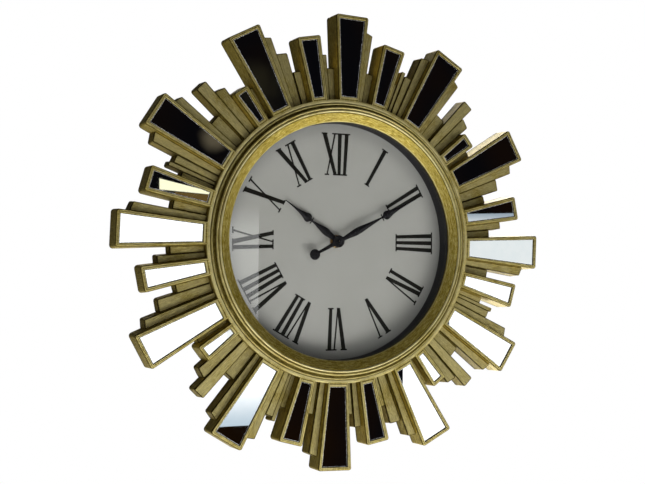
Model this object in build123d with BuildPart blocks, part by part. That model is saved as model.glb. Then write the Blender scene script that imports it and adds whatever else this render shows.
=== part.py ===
"""Sunburst wall clock with a moulded ray frame, mirror inlays and a standard quartz movement.

Axes: +X to the right of the dial, +Z towards twelve o'clock, the dial faces -Y.  The origin is on the hands'
axis at half the overall depth.  A height is measured towards the front, so a height h lies at Y = -h.  A clock
angle is in degrees, clockwise from +Z as seen from the front.
"""
from build123d import *
from math import atan2, cos, degrees, pi, radians, sin, tan
import os

os.makedirs("parts", exist_ok=True)

# ---------------------------------------------------------------- driving dimensions, mm and degrees
overall_depth = 50.8
lip_radius = 126.0             # clear opening of the bezel
bezel_width = 20.0             # lip to the outer edge of the bezel ring
bezel_height = 5.2             # how far the front bead stands proud of the bars
collar_width = 4.0             # flat band between the bezel and the roots of the bars
bar_depth = 25.0               # front face to back face of a large bar
bar_wall = 2.5                 # wall of the hollow bars and of the ring
frame_turn = 2.1               # the bars are turned this far clockwise from the hour marks
pattern_start = -30.0          # the first bar of the pattern stands at eleven o'clock
quarters = 4                   # the pattern of bars repeats in each quarter

mirror_recess = 1.5            # mirror faces lie this far behind the bar faces
mirror_thickness = 2.0
mirror_root_gap = 3.5          # from the collar to a mirror
mirror_tip_rim = 4.0           # from a mirror to the end of its bar
mirror_clearance = 0.15

lip_thickness = 2.0
glass_overlap = 4.0            # how far the glass reaches behind the lip
glass_thickness = 2.0
spacer_length = 17.2           # glass to dial
spacer_setback = 0.6           # the spacer's bore stands this far behind the lip's edge
seat_clearance = 0.2           # glass and spacer in their bore
sleeve_wall = 3.0
bezel_seat_depth = 4.2         # bar face to the shoulder that the bezel rests on
bezel_clearance = 0.1

dial_thickness = 1.2
board_thickness = 3.0
board_clearance = 0.4
drum_flange = 3.0              # thickness of the drum's front flange
drum_wall = 4.0
drum_inset = 2.0               # the drum's outside is this much smaller than the collar
flange_gap = 0.4               # from the ring's rear edge to the drum's flange
drum_flange_width = 16.0

case_screw_count = 8
case_screw_radius = 1.5
case_screw_head_radius = 3.2
case_screw_head = 2.0
case_screw_grip = 10.0         # length inside the frame's bosses
case_boss_radius = 4.5
screw_clearance = 0.05         # radial, in every screw hole

hanger_half_width = 27.0
hanger_height = 16.5
hanger_thickness = 1.2
hanger_setback = 2.0           # from the rear rim to the hanger's back face
hanger_edge = 3.5              # from the screws to the plate's upper edge
hanger_boss_radius = 5.0
hanger_screw_spacing = 44.0
hanger_screw_grip = 8.0
hanger_screw_head = 1.6
keyhole_radius = 4.5
keyhole_slot = 4.4             # width of the slot
keyhole_rise = 6.5             # head hole to the end of the slot

minute_hand_gap = 21.9         # tip of the minute hand to the spacer's wall
hour_hand_length = 73.8
hand_thickness = 0.5
hand_hub_radius = 6.0
tail_disc_radius = 5.4
tail_disc_place = 31.0
minute_angle = 62.4            # the hands' clock angles at rest, ten past ten
hour_angle = 305.2
hour_hand_height = 5.6         # of each hand's back face above the dial
minute_hand_height = 7.6
cap_nut_radius = 2.6
cap_nut_height = 1.6

movement_width = 56.0
movement_top = 28.0            # hands' axis to the top of the case
divider_gap = 11.0             # hands' axis to the wall beside the battery
movement_wall = 1.2
movement_corner = 3.0
movement_gap = 0.8             # rubber washer between the board and the movement
movement_thickness = 16.2
movement_split = 7.4           # thickness of the front half
battery_radius = 7.1
battery_body = 49.2
battery_button = 1.3
battery_button_radius = 2.75
battery_clearance = 0.2
bay_wall_height = 13.0
contact_thickness = 0.5
bushing_radius = 4.0
bushing_proud = 4.0            # bushing above the dial
bushing_clearance = 0.2
nut_flat = 11.0                # across flats
nut_thickness = 2.0
washer_thickness = 0.5
washer_radius = 7.0
pipe_radius = 2.55             # hour pipe, outside
minute_arbor_radius = 1.5
running_clearance = 0.05       # radial, shaft in hole
fitted_clearance = 0.02        # radial, for pieces fitted on a shaft

# ---------------------------------------------------------------- bars of one quarter, clockwise
# span in degrees, length beyond the collar at its first and last side, step down from the large bars, inlay
long_bar = 90.77
medium_bar = 68.0
small_bar = 41.0
bars = [
    (9.00, long_bar, long_bar, 0.0, "large"),
    (2.40, 78.0, 75.0, 7.0, None),
    (3.75, 58.0, 56.0, 12.0, None),
    (2.85, 35.0, 35.0, 11.0, None),
    (7.00, medium_bar, medium_bar, 0.0, "medium"),
    (2.35, 49.0, 49.0, 9.0, None),
    (2.65, 35.0, 35.0, 11.0, None),
    (9.00, long_bar, long_bar, 0.0, "large"),
    (2.50, 78.0, 75.0, 7.0, None),
    (2.95, 35.0, 35.0, 11.0, None),
    (7.10, medium_bar, medium_bar, 0.0, "medium"),
    (2.05, 35.0, 35.0, 11.0, None),
    (1.30, 51.0, 51.0, 9.5, None),
    (2.50, 47.5, 47.5, 8.0, None),
    (2.60, 75.0, 78.0, 7.0, None),
    (9.00, long_bar, long_bar, 0.0, "large"),
    (2.45, 78.0, 75.0, 7.0, None),
    (4.05, 35.0, 35.0, 11.0, None),
    (3.50, 69.5, 69.5, 6.5, None),
    (3.40, 55.0, 52.0, 8.5, None),
    (5.50, small_bar, small_bar, 0.0, "small"),
    (2.10, 36.0, 36.0, 11.0, None),
]
# rim beside each kind of mirror at its root and at its tip
mirror_rims = {"large": (3.3, 4.0), "medium": (4.2, 4.3), "small": (4.4, 4.0)}
bar_overlap = 1.0              # the bars' roots reach this far into the collar

# ---------------------------------------------------------------- derived places
bar_face = overall_depth / 2 - bezel_height
bar_back = bar_face - bar_depth
rear_rim = -overall_depth / 2
mirror_face = bar_face - mirror_recess
mirror_back = mirror_face - mirror_thickness

collar_inner = lip_radius + bezel_width
collar_outer = collar_inner + collar_width
sleeve_bore = lip_radius + glass_overlap
bezel_back = bar_face - bezel_seat_depth

glass_front = bar_face - lip_thickness
glass_back = glass_front - glass_thickness
seated_radius = sleeve_bore - seat_clearance
dial_face = glass_back - spacer_length
dial_back = dial_face - dial_thickness
board_back = dial_back - board_thickness
board_radius = collar_inner - board_clearance
spacer_bore = lip_radius + spacer_setback

ring_back = board_back + flange_gap
drum_outer = collar_outer - drum_inset
flange_back = board_back - drum_flange
screw_circle = (sleeve_bore + sleeve_wall + collar_inner) / 2
screw_angles = [360 / case_screw_count * (n + 0.5) for n in range(case_screw_count)]

hanger_back = rear_rim + hanger_setback
hanger_front = hanger_back + hanger_thickness
hanger_screw_x = hanger_screw_spacing / 2
hanger_screw_z = (screw_circle ** 2 - hanger_screw_x ** 2) ** 0.5
hanger_centre_z = hanger_screw_z - hanger_height / 2 + hanger_edge
keyhole_z = hanger_screw_z - keyhole_rise

case_front = board_back - movement_gap
case_split = case_front - movement_split
case_back = case_front - movement_thickness
case_floor = case_front - movement_wall
case_roof = case_back + movement_wall
bay_depth = 2 * (battery_radius + battery_clearance)
bay_top = -divider_gap - movement_wall
bay_bottom = bay_top - bay_depth
movement_bottom = bay_bottom - movement_wall
battery_z = (bay_bottom + bay_top) / 2
battery_height = case_floor - battery_clearance - battery_radius
bushing_top = dial_face + bushing_proud
pipe_bore = minute_arbor_radius + running_clearance


# ---------------------------------------------------------------- helpers
def on_clock(radius, angle):
    """Point of the dial plane at a radius and a clock angle."""
    return (radius * sin(radians(angle)), radius * cos(radians(angle)))


def front_plane(height, x=0.0, z=0.0, angle=0.0):
    """Plane facing the front at a height, its centre at x, z and its local +Y at a clock angle."""
    turn = radians(angle)
    return Plane(origin=(x, -height, z), x_dir=(cos(turn), 0, -sin(turn)), z_dir=(0, -1, 0))


def at(radius, height):
    """Point of a turned section: the radius along X and the height towards the front."""
    return (radius, -height)


def loop(points):
    """Closed face through the points."""
    with BuildSketch(Plane.XY) as shape:
        with BuildLine():
            Polyline(*points, close=True)
        make_face()
    return shape.sketch


def turned(points):
    """Solid of revolution about the hands' axis with this section of (radius, height) points."""
    with BuildPart() as body:
        with BuildSketch(Plane.XY):
            with BuildLine():
                Polyline(*[at(radius, height) for radius, height in points], close=True)
            make_face()
        revolve(axis=Axis.Y)
    return body.part


def bar_corners(start, span, first, last, inlay, inset=0.0, root=None):
    """Outline of a bar: its sides are radial, moved inwards by the inset, and its end is straight."""
    middle = start + span / 2
    half = span / 2
    if inlay:
        first = last = (collar_outer + first - inset) / cos(radians(half)) - collar_outer
    else:
        first, last = first - inset, last - inset
    root_radius = collar_outer - bar_overlap if root is None else root
    corners = []
    for radius, side in ((root_radius, -1), (collar_outer + first, -1), (collar_outer + last, 1), (root_radius, 1)):
        along = radius * cos(radians(half))
        across = side * (along * tan(radians(half)) - inset / cos(radians(half)))
        x0, z0 = on_clock(along, middle)
        corners.append((x0 + across * cos(radians(middle)), z0 - across * sin(radians(middle))))
    return corners


def mirror_corners(start, span, length, kind, grow=0.0):
    """Outline of a mirror: it narrows towards the dial, inside its bar by the rims of its kind."""
    middle = start + span / 2
    root = collar_outer + mirror_root_gap
    tip = collar_outer + length - mirror_tip_rim
    root_rim, tip_rim = mirror_rims[kind]
    root_half = root * tan(radians(span / 2)) - root_rim + grow
    tip_half = tip * tan(radians(span / 2)) - tip_rim + grow
    corners = []
    for along, across in ((root - grow, -root_half), (tip + grow, -tip_half), (tip + grow, tip_half),
                          (root - grow, root_half)):
        x0, z0 = on_clock(along, middle)
        corners.append((x0 + across * cos(radians(middle)), z0 - across * sin(radians(middle))))
    return corners


placed_bars = []
angle = frame_turn + pattern_start - bars[0][0] / 2
for quarter in range(quarters):
    for span, first, last, step, inlay in bars:
        placed_bars.append((angle, span, first, last, step, inlay))
        angle += span

# ---------------------------------------------------------------- sunburst ray frame
with BuildPart() as ray_frame:
    add(turned([
        (sleeve_bore, bezel_back), (collar_inner, bezel_back), (collar_inner, bar_face), (collar_outer, bar_face),
        (collar_outer, ring_back), (collar_inner, ring_back), (collar_inner, bezel_back - bar_wall),
        (sleeve_bore + sleeve_wall, bezel_back - bar_wall), (sleeve_bore + sleeve_wall, dial_face),
        (sleeve_bore, dial_face)]))
    for level in sorted({bar[4] for bar in placed_bars}):
        with BuildSketch(front_plane(bar_back)):
            for start, span, first, last, step, inlay in placed_bars:
                if step == level:
                    add(loop(bar_corners(start, span, first, last, inlay)))
        extrude(amount=bar_depth - level)
    with BuildSketch(front_plane(mirror_back)):
        for start, span, first, last, step, inlay in placed_bars:
            if inlay:
                add(loop(mirror_corners(start, span, first, inlay, mirror_clearance)))
    extrude(amount=bar_face - mirror_back, mode=Mode.SUBTRACT)
    with BuildSketch(front_plane(bar_back)):
        for start, span, first, last, step, inlay in placed_bars:
            if inlay:
                add(loop(bar_corners(start, span, first, last, inlay, bar_wall, collar_outer + bar_wall)))
    extrude(amount=mirror_back - bar_wall - bar_back, mode=Mode.SUBTRACT)
    with BuildSketch(front_plane(dial_face)):
        with Locations(*[on_clock(screw_circle, a) for a in screw_angles]):
            Circle(case_boss_radius)
    extrude(amount=bezel_back - bar_wall - dial_face)
    with BuildSketch(front_plane(dial_face)):
        with Locations(*[on_clock(screw_circle, a) for a in screw_angles]):
            Circle(case_screw_radius + screw_clearance)
    extrude(amount=case_screw_grip + 1, mode=Mode.SUBTRACT)
ray_frame.part.label = "ray_frame"
export_step(ray_frame.part, "parts/ray_frame.step")

# ---------------------------------------------------------------- bezel ring
bezel_outer = collar_inner - bezel_clearance
bead_top = bar_face + bezel_height
bead_radius = lip_radius + 11.1
crest_radius = lip_radius + 13.9
bead_half = 1.1
with BuildPart() as bezel_ring:
    with BuildSketch(Plane.XY):
        with BuildLine():
            Polyline(
                at(bead_radius - bead_half, bead_top - 1.2), at(lip_radius, bar_face), at(lip_radius, glass_front),
                at(sleeve_bore, glass_front), at(sleeve_bore, bezel_back), at(bezel_outer, bezel_back),
                at(bezel_outer, bar_face + 0.7))
            ThreePointArc(
                at(bezel_outer, bar_face + 0.7), at(crest_radius + 4.9, bar_face + 1.6),
                at(crest_radius + 3.9, bar_face + 0.8))
            ThreePointArc(
                at(crest_radius + 3.9, bar_face + 0.8), at(crest_radius + 2.1, bar_face + 1.8),
                at(crest_radius + 1.4, bar_face + 3.8))
            ThreePointArc(
                at(crest_radius + 1.4, bar_face + 3.8), at(crest_radius, bar_face + 4.7),
                at(bead_radius + bead_half + 0.4, bar_face + 3.8))
            Line(at(bead_radius + bead_half + 0.4, bar_face + 3.8), at(bead_radius + bead_half, bead_top - 1.2))
            ThreePointArc(
                at(bead_radius + bead_half, bead_top - 1.2), at(bead_radius, bead_top),
                at(bead_radius - bead_half, bead_top - 1.2))
        make_face()
    revolve(axis=Axis.Y)
bezel_ring.part.label = "bezel_ring"
export_step(bezel_ring.part, "parts/bezel_ring.step")

# ---------------------------------------------------------------- glass, spacer, dial, board
with BuildPart() as glass_lens:
    with BuildSketch(front_plane(glass_back)):
        Circle(seated_radius)
    extrude(amount=glass_thickness)
glass_lens.part.label = "glass_lens"
export_step(glass_lens.part, "parts/glass_lens.step")

with BuildPart() as spacer_ring:
    with BuildSketch(front_plane(dial_face)):
        Circle(seated_radius)
        Circle(spacer_bore, mode=Mode.SUBTRACT)
    extrude(amount=spacer_length)
spacer_ring.part.label = "spacer_ring"
export_step(spacer_ring.part, "parts/spacer_ring.step")

for name, back, thickness in (("dial_plate", dial_back, dial_thickness),
                              ("backing_board", board_back, board_thickness)):
    with BuildPart() as disc:
        with BuildSketch(front_plane(back)):
            Circle(board_radius)
            Circle(bushing_radius + bushing_clearance, mode=Mode.SUBTRACT)
            with Locations(*[on_clock(screw_circle, a) for a in screw_angles]):
                Circle(case_screw_radius + screw_clearance, mode=Mode.SUBTRACT)
        extrude(amount=thickness)
    disc.part.label = name
    export_step(disc.part, f"parts/{name}.step")

# ---------------------------------------------------------------- case drum and its screws
hanger_screw_places = [(-hanger_screw_x, hanger_screw_z), (hanger_screw_x, hanger_screw_z)]
with BuildPart() as case_drum:
    with BuildSketch(front_plane(flange_back)):
        Circle(drum_outer)
        Circle(drum_outer - drum_flange_width, mode=Mode.SUBTRACT)
    extrude(amount=drum_flange)
    with BuildSketch(front_plane(rear_rim)):
        Circle(drum_outer)
        Circle(drum_outer - drum_wall, mode=Mode.SUBTRACT)
    extrude(amount=flange_back - rear_rim)
    with BuildSketch(front_plane(hanger_front)):
        with Locations(*hanger_screw_places):
            Circle(hanger_boss_radius)
    extrude(amount=flange_back - hanger_front)
    with BuildSketch(front_plane(hanger_front)):
        with Locations(*hanger_screw_places):
            Circle(case_screw_radius + screw_clearance)
    extrude(amount=hanger_screw_grip + 1, mode=Mode.SUBTRACT)
    with BuildSketch(front_plane(flange_back)):
        with Locations(*[on_clock(screw_circle, a) for a in screw_angles]):
            Circle(case_screw_radius + screw_clearance)
    extrude(amount=drum_flange, mode=Mode.SUBTRACT)
case_drum.part.label = "case_drum"
export_step(case_drum.part, "parts/case_drum.step")


def pan_screws(name, places, seat, head, shank):
    """Pan-head screws with their heads on a seat that faces the rear, one solid each in one node."""
    with BuildPart() as screws:
        with BuildSketch(front_plane(seat)):
            with Locations(*places):
                Circle(case_screw_radius)
        extrude(amount=shank)
        with BuildSketch(front_plane(seat - head)):
            with Locations(*places):
                Circle(case_screw_head_radius)
        extrude(amount=head)
        chamfer(screws.faces().sort_by(Axis.Y)[-len(places):].edges(), head / 3)
        with BuildSketch(front_plane(seat - head)):
            with Locations(*places):
                Rectangle(case_screw_head_radius, case_screw_head_radius / 4)
                Rectangle(case_screw_head_radius / 4, case_screw_head_radius)
        extrude(amount=head / 2, mode=Mode.SUBTRACT)
    screws.part.label = name
    export_step(screws.part, f"parts/{name}.step")


pan_screws("case_screws", [on_clock(screw_circle, a) for a in screw_angles], flange_back, case_screw_head,
           dial_face - flange_back + case_screw_grip)
pan_screws("hanger_screws", hanger_screw_places, hanger_back, hanger_screw_head,
           hanger_thickness + hanger_screw_grip)

# ---------------------------------------------------------------- keyhole hanger
with BuildPart() as hanger_plate:
    with BuildSketch(front_plane(hanger_back, 0, hanger_centre_z)):
        RectangleRounded(2 * hanger_half_width, hanger_height, 3.0)
    extrude(amount=hanger_thickness)
    with BuildSketch(front_plane(hanger_back, 0, keyhole_z)):
        Circle(keyhole_radius)
        with Locations((0, keyhole_rise / 2)):
            Rectangle(keyhole_slot, keyhole_rise)
        with Locations((0, keyhole_rise)):
            Circle(keyhole_slot / 2)
    extrude(amount=hanger_thickness, mode=Mode.SUBTRACT)
    with BuildSketch(front_plane(hanger_back)):
        with Locations(*hanger_screw_places):
            Circle(case_screw_radius + screw_clearance)
    extrude(amount=hanger_thickness, mode=Mode.SUBTRACT)
hanger_plate.part.label = "hanger_plate"
export_step(hanger_plate.part, "parts/hanger_plate.step")

# ---------------------------------------------------------------- mirrors, numbered clockwise from twelve o'clock
mirror_count = {"large": 0, "medium": 0, "small": 0}
for start, span, first, last, step, inlay in sorted(placed_bars, key=lambda bar: (bar[0] + bar[1]) % 360):
    if not inlay:
        continue
    mirror_count[inlay] += 1
    name = f"{inlay}_mirror_{mirror_count[inlay]:02d}"
    with BuildPart() as mirror:
        with BuildSketch(front_plane(mirror_back)):
            add(loop(mirror_corners(start, span, first, inlay)))
        extrude(amount=mirror_thickness)
    mirror.part.label = name
    export_step(mirror.part, f"parts/{name}.step")

# ---------------------------------------------------------------- gear train, modules in mm
train_module = 0.34            # second wheel's pinion with the third wheel
step_module = 0.40             # intermediate pinion with the second wheel
rotor_module = 0.28            # rotor pinion with the intermediate wheel
motion_module = 0.40           # cannon pinion, minute wheel and setting knob
third_direction = 32.0         # clock angles of the arbors, seen from the front
intermediate_direction = -45.0
rotor_direction = -45.0
minute_wheel_direction = 104.5
knob_direction = 71.0
second_teeth, second_pinion = 40, 8
third_teeth, third_pinion = 60, 8
centre_teeth = 64
intermediate_teeth, intermediate_pinion = 60, 10
rotor_pinion = 8
cannon_pinion = 12
minute_teeth, minute_pinion = 36, 10
hour_teeth = 40
knob_pinion = 10
pitch_backlash = 0.16          # share of the pitch that is left free between meshing teeth
tooth_addendum = 0.80          # in modules
tooth_dedendum = 1.20
arbor_radius = 0.5
stud_radius = 0.8
wheel_thickness = 0.8
pinion_thickness = 1.6

third_distance = train_module * (second_pinion + third_teeth) / 2
third_module = 2 * third_distance / (third_pinion + centre_teeth)
intermediate_distance = step_module * (intermediate_pinion + second_teeth) / 2
rotor_distance = rotor_module * (rotor_pinion + intermediate_teeth) / 2
minute_distance = motion_module * (cannon_pinion + minute_teeth) / 2
hour_module = 2 * minute_distance / (minute_pinion + hour_teeth)
knob_distance = motion_module * (minute_teeth + knob_pinion) / 2


def beside(place, distance, direction):
    """Point at a distance and a clock angle from another one."""
    dx, dz = on_clock(distance, direction)
    return (place[0] + dx, place[1] + dz)


centre = (0.0, 0.0)
third_place = beside(centre, third_distance, third_direction)
intermediate_place = beside(centre, intermediate_distance, intermediate_direction)
rotor_place = beside(intermediate_place, rotor_distance, rotor_direction)
minute_place = beside(centre, minute_distance, minute_wheel_direction)
knob_place = beside(minute_place, knob_distance, knob_direction)

# mid heights of the gear layers, measured back from the floor of the movement's front case
hour_layer = case_floor - 0.9
minute_layer = case_floor - 2.5
centre_layer = case_floor - 4.5
third_layer = case_floor - 6.6
second_layer = case_floor - 8.4
intermediate_layer = case_floor - 10.2


def direction_of(start, end):
    """Clock angle from one place to another."""
    return degrees(atan2(end[0] - start[0], end[1] - start[1]))


def mesh_turn(turn, teeth, other_teeth, direction):
    """Turn of a gear that meshes with another one lying at the opposite end of this direction."""
    return direction + 180 + 180 / other_teeth - (turn - direction) * teeth / other_teeth


def gear_corners(teeth, module, turn):
    """Outline of straight-flanked teeth, the first one centred at the clock angle."""
    pitch_radius = module * teeth / 2
    pitch_half = pi * module / 4 * (1 - pitch_backlash)
    corners = []
    for tooth in range(teeth):
        for radius, side in ((pitch_radius - tooth_dedendum * module, -1),
                             (pitch_radius + tooth_addendum * module, -1),
                             (pitch_radius + tooth_addendum * module, 1),
                             (pitch_radius - tooth_dedendum * module, 1)):
            half = pitch_half - (radius - pitch_radius) * tan(radians(20))
            half = min(half, 0.9 * radius * pi / teeth)
            corners.append(on_clock(radius, turn + 360 / teeth * tooth + side * degrees(half / radius)))
    return corners


def disc(place, low, high, radius, bore=0.0):
    """Round solid between two heights, with a bore where one is given."""
    with BuildPart() as body:
        with BuildSketch(front_plane(low, *place)):
            Circle(radius)
            if bore:
                Circle(bore, mode=Mode.SUBTRACT)
        extrude(amount=high - low)
    return body.part


def gear(place, middle, thickness, teeth, module, turn, bore=0.0):
    """Toothed solid about a mid height."""
    with BuildPart() as body:
        with BuildSketch(front_plane(middle - thickness / 2, *place)):
            add(loop(gear_corners(teeth, module, turn)))
            if bore:
                Circle(bore, mode=Mode.SUBTRACT)
        extrude(amount=thickness)
    return body.part


def finish(piece, name):
    """Label a finished piece and write its file."""
    piece.part.label = name
    export_step(piece.part, f"parts/{name}.step")


second_turn = 0.0
intermediate_pinion_turn = mesh_turn(second_turn, second_teeth, intermediate_pinion, intermediate_direction)
rotor_turn = mesh_turn(0.0, intermediate_teeth, rotor_pinion, rotor_direction)
third_turn = mesh_turn(0.0, second_pinion, third_teeth, third_direction)
third_pinion_turn = mesh_turn(0.0, centre_teeth, third_pinion, third_direction)
minute_turn = mesh_turn(0.0, cannon_pinion, minute_teeth, minute_wheel_direction)
minute_pinion_turn = mesh_turn(0.0, hour_teeth, minute_pinion, minute_wheel_direction)
knob_turn = mesh_turn(minute_turn, minute_teeth, knob_pinion, knob_direction)
half_wheel = wheel_thickness / 2
half_pinion = pinion_thickness / 2
rear_bearing = case_roof + 0.1
arbor_end_gap = 0.6            # arbors stop this far beyond the next layer

with BuildPart() as second_wheel:
    add(gear(centre, second_layer, wheel_thickness, second_teeth, step_module, second_turn))
    add(gear(centre, third_layer, pinion_thickness, second_pinion, train_module, 0.0))
    add(disc(centre, rear_bearing, centre_layer - half_wheel + arbor_end_gap, arbor_radius))
finish(second_wheel, "second_wheel")

with BuildPart() as third_wheel:
    add(gear(third_place, third_layer, wheel_thickness, third_teeth, train_module, third_turn))
    add(gear(third_place, centre_layer, pinion_thickness, third_pinion, third_module, third_pinion_turn))
    add(disc(third_place, rear_bearing, centre_layer + half_pinion + arbor_end_gap, arbor_radius))
finish(third_wheel, "third_wheel")

with BuildPart() as intermediate_wheel:
    add(gear(intermediate_place, intermediate_layer, wheel_thickness, intermediate_teeth, rotor_module, 0.0))
    add(gear(intermediate_place, second_layer, pinion_thickness, intermediate_pinion, step_module,
             intermediate_pinion_turn))
    add(disc(intermediate_place, rear_bearing, second_layer + half_pinion + arbor_end_gap, arbor_radius))
finish(intermediate_wheel, "intermediate_wheel")

rotor_radius = 3.0
rotor_height = 3.6
rotor_layer = third_layer + 0.4
with BuildPart() as rotor:
    add(gear(rotor_place, intermediate_layer, pinion_thickness, rotor_pinion, rotor_module, rotor_turn))
    add(disc(rotor_place, rotor_layer - rotor_height / 2, rotor_layer + rotor_height / 2, rotor_radius))
    add(disc(rotor_place, rear_bearing, rotor_layer + rotor_height / 2 + arbor_end_gap, arbor_radius))
finish(rotor, "rotor")

with BuildPart() as centre_wheel:
    add(gear(centre, centre_layer, wheel_thickness, centre_teeth, third_module, 0.0,
             minute_arbor_radius + running_clearance))
finish(centre_wheel, "centre_wheel")

minute_hand_back = dial_face + minute_hand_height
hour_hand_back = dial_face + hour_hand_height
arbor_front = minute_hand_back + hand_thickness + cap_nut_height - 0.4
arbor_rear = centre_layer - half_wheel - 0.3
pivot_bore = arbor_radius + running_clearance
with BuildPart() as minute_arbor:
    add(disc(centre, arbor_rear, arbor_front, minute_arbor_radius))
    add(gear(centre, minute_layer, pinion_thickness, cannon_pinion, motion_module, 0.0))
    with BuildSketch(front_plane(arbor_rear)):
        Circle(pivot_bore)
    extrude(amount=arbor_end_gap + 1.5, mode=Mode.SUBTRACT)
finish(minute_arbor, "minute_arbor")

stud_clearance = stud_radius + running_clearance
with BuildPart() as minute_wheel:
    add(gear(minute_place, minute_layer, wheel_thickness, minute_teeth, motion_module, minute_turn, stud_clearance))
    add(gear(minute_place, hour_layer, wheel_thickness, minute_pinion, hour_module, minute_pinion_turn,
             stud_clearance))
    add(disc(minute_place, minute_layer, hour_layer, stud_radius + 0.7, stud_clearance))
finish(minute_wheel, "minute_wheel")

pipe_front = hour_hand_back + hand_thickness
with BuildPart() as hour_wheel:
    add(gear(centre, hour_layer, wheel_thickness, hour_teeth, hour_module, 0.0, pipe_bore))
    add(disc(centre, hour_layer - half_wheel, pipe_front, pipe_radius, pipe_bore))
finish(hour_wheel, "hour_wheel")

knob_arbor_radius = 1.2
knob_radius = 5.0
knob_thickness = 2.0
knob_back = case_back - 0.3 - knob_thickness
with BuildPart() as setting_knob:
    add(gear(knob_place, minute_layer, pinion_thickness, knob_pinion, motion_module, knob_turn))
    add(disc(knob_place, knob_back, minute_layer + half_pinion, knob_arbor_radius))
    add(disc(knob_place, knob_back, knob_back + knob_thickness, knob_radius))
    with BuildSketch(front_plane(knob_back, *knob_place)):
        with PolarLocations(knob_radius, 18):
            Circle(0.35)
    extrude(amount=knob_thickness, mode=Mode.SUBTRACT)
finish(setting_knob, "setting_knob")

# ---------------------------------------------------------------- movement cases
divider_z = -divider_gap
inner_width = movement_width - 2 * movement_wall
train_top = movement_top - movement_wall
stud_front = minute_layer - half_wheel - 0.2
with BuildPart() as movement_front_case:
    with BuildSketch(front_plane(case_split, 0, (movement_top + movement_bottom) / 2)):
        RectangleRounded(movement_width, movement_top - movement_bottom, movement_corner)
    extrude(amount=movement_split)
    with BuildSketch(front_plane(case_split, 0, (divider_z + train_top) / 2)):
        Rectangle(inner_width, train_top - divider_z)
    extrude(amount=movement_split - movement_wall, mode=Mode.SUBTRACT)
    with BuildSketch(front_plane(case_floor - bay_wall_height, 0, (divider_z + movement_bottom) / 2)):
        Rectangle(movement_width, divider_z - movement_bottom)
    extrude(amount=bay_wall_height - (case_floor - case_split))
    with BuildSketch(front_plane(case_floor - bay_wall_height, 0, battery_z)):
        Rectangle(inner_width, bay_depth)
    extrude(amount=bay_wall_height, mode=Mode.SUBTRACT)
    with BuildSketch(front_plane(case_floor, *minute_place)):
        Circle(stud_radius)
    extrude(amount=stud_front - case_floor)
    with BuildSketch(front_plane(case_front)):
        Circle(bushing_radius)
    extrude(amount=bushing_top - case_front)
    with BuildSketch(front_plane(case_floor)):
        Circle(pipe_radius + running_clearance)
    extrude(amount=bushing_top - case_floor, mode=Mode.SUBTRACT)
finish(movement_front_case, "movement_front_case")

case_join_gap = 0.1
rear_bottom = divider_z + case_join_gap
with BuildPart() as movement_rear_case:
    with BuildSketch(front_plane(case_back, 0, (rear_bottom + movement_top) / 2)):
        Rectangle(movement_width, movement_top - rear_bottom)
    extrude(amount=case_split - case_back)
    fillet(movement_rear_case.edges().filter_by(Axis.Y).group_by(Axis.Z)[-1], movement_corner)
    with BuildSketch(front_plane(case_roof, 0, (rear_bottom + movement_top) / 2)):
        Rectangle(inner_width, movement_top - rear_bottom - 2 * movement_wall)
    extrude(amount=case_split - case_roof, mode=Mode.SUBTRACT)
    for place in (centre, third_place, intermediate_place, rotor_place):
        with BuildSketch(front_plane(case_roof, *place)):
            Circle(arbor_radius + 0.9)
            Circle(arbor_radius + running_clearance, mode=Mode.SUBTRACT)
        extrude(amount=1.0)
    with BuildSketch(front_plane(case_back, *knob_place)):
        Circle(knob_arbor_radius + running_clearance)
    extrude(amount=movement_wall, mode=Mode.SUBTRACT)
finish(movement_rear_case, "movement_rear_case")

# ---------------------------------------------------------------- battery and its contacts
bay_end = inner_width / 2
button_tip = bay_end - contact_thickness - 0.2
with BuildPart() as battery:
    with BuildSketch(Plane(origin=(button_tip - battery_button, -battery_height, battery_z), z_dir=(-1, 0, 0))):
        Circle(battery_radius)
    extrude(amount=battery_body)
    chamfer(battery.edges().filter_by(GeomType.CIRCLE), 0.6)
    with BuildSketch(Plane(origin=(button_tip, -battery_height, battery_z), z_dir=(-1, 0, 0))):
        Circle(battery_button_radius)
    extrude(amount=battery_button)
finish(battery, "battery")

contact_side = 9.0
with BuildPart() as battery_plus_contact:
    with BuildSketch(front_plane(battery_height - contact_side / 2, bay_end - contact_thickness / 2, battery_z)):
        Rectangle(contact_thickness, contact_side)
    extrude(amount=contact_side)
finish(battery_plus_contact, "battery_plus_contact")

battery_end = button_tip - battery_button - battery_body
leaf_bow = battery_end + bay_end - contact_thickness - battery_clearance
with BuildPart() as battery_minus_contact:
    with BuildSketch(front_plane(battery_height - contact_side / 2, -bay_end, battery_z)):
        with BuildLine():
            outer = ThreePointArc((0, -contact_side / 2), (leaf_bow + contact_thickness, 0), (0, contact_side / 2))
            inner = ThreePointArc(
                (0, contact_side / 2 - contact_thickness), (leaf_bow, 0), (0, -contact_side / 2 + contact_thickness))
            Line(outer @ 1, inner @ 0)
            Line(inner @ 1, outer @ 0)
        make_face()
    extrude(amount=contact_side)
finish(battery_minus_contact, "battery_minus_contact")

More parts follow.
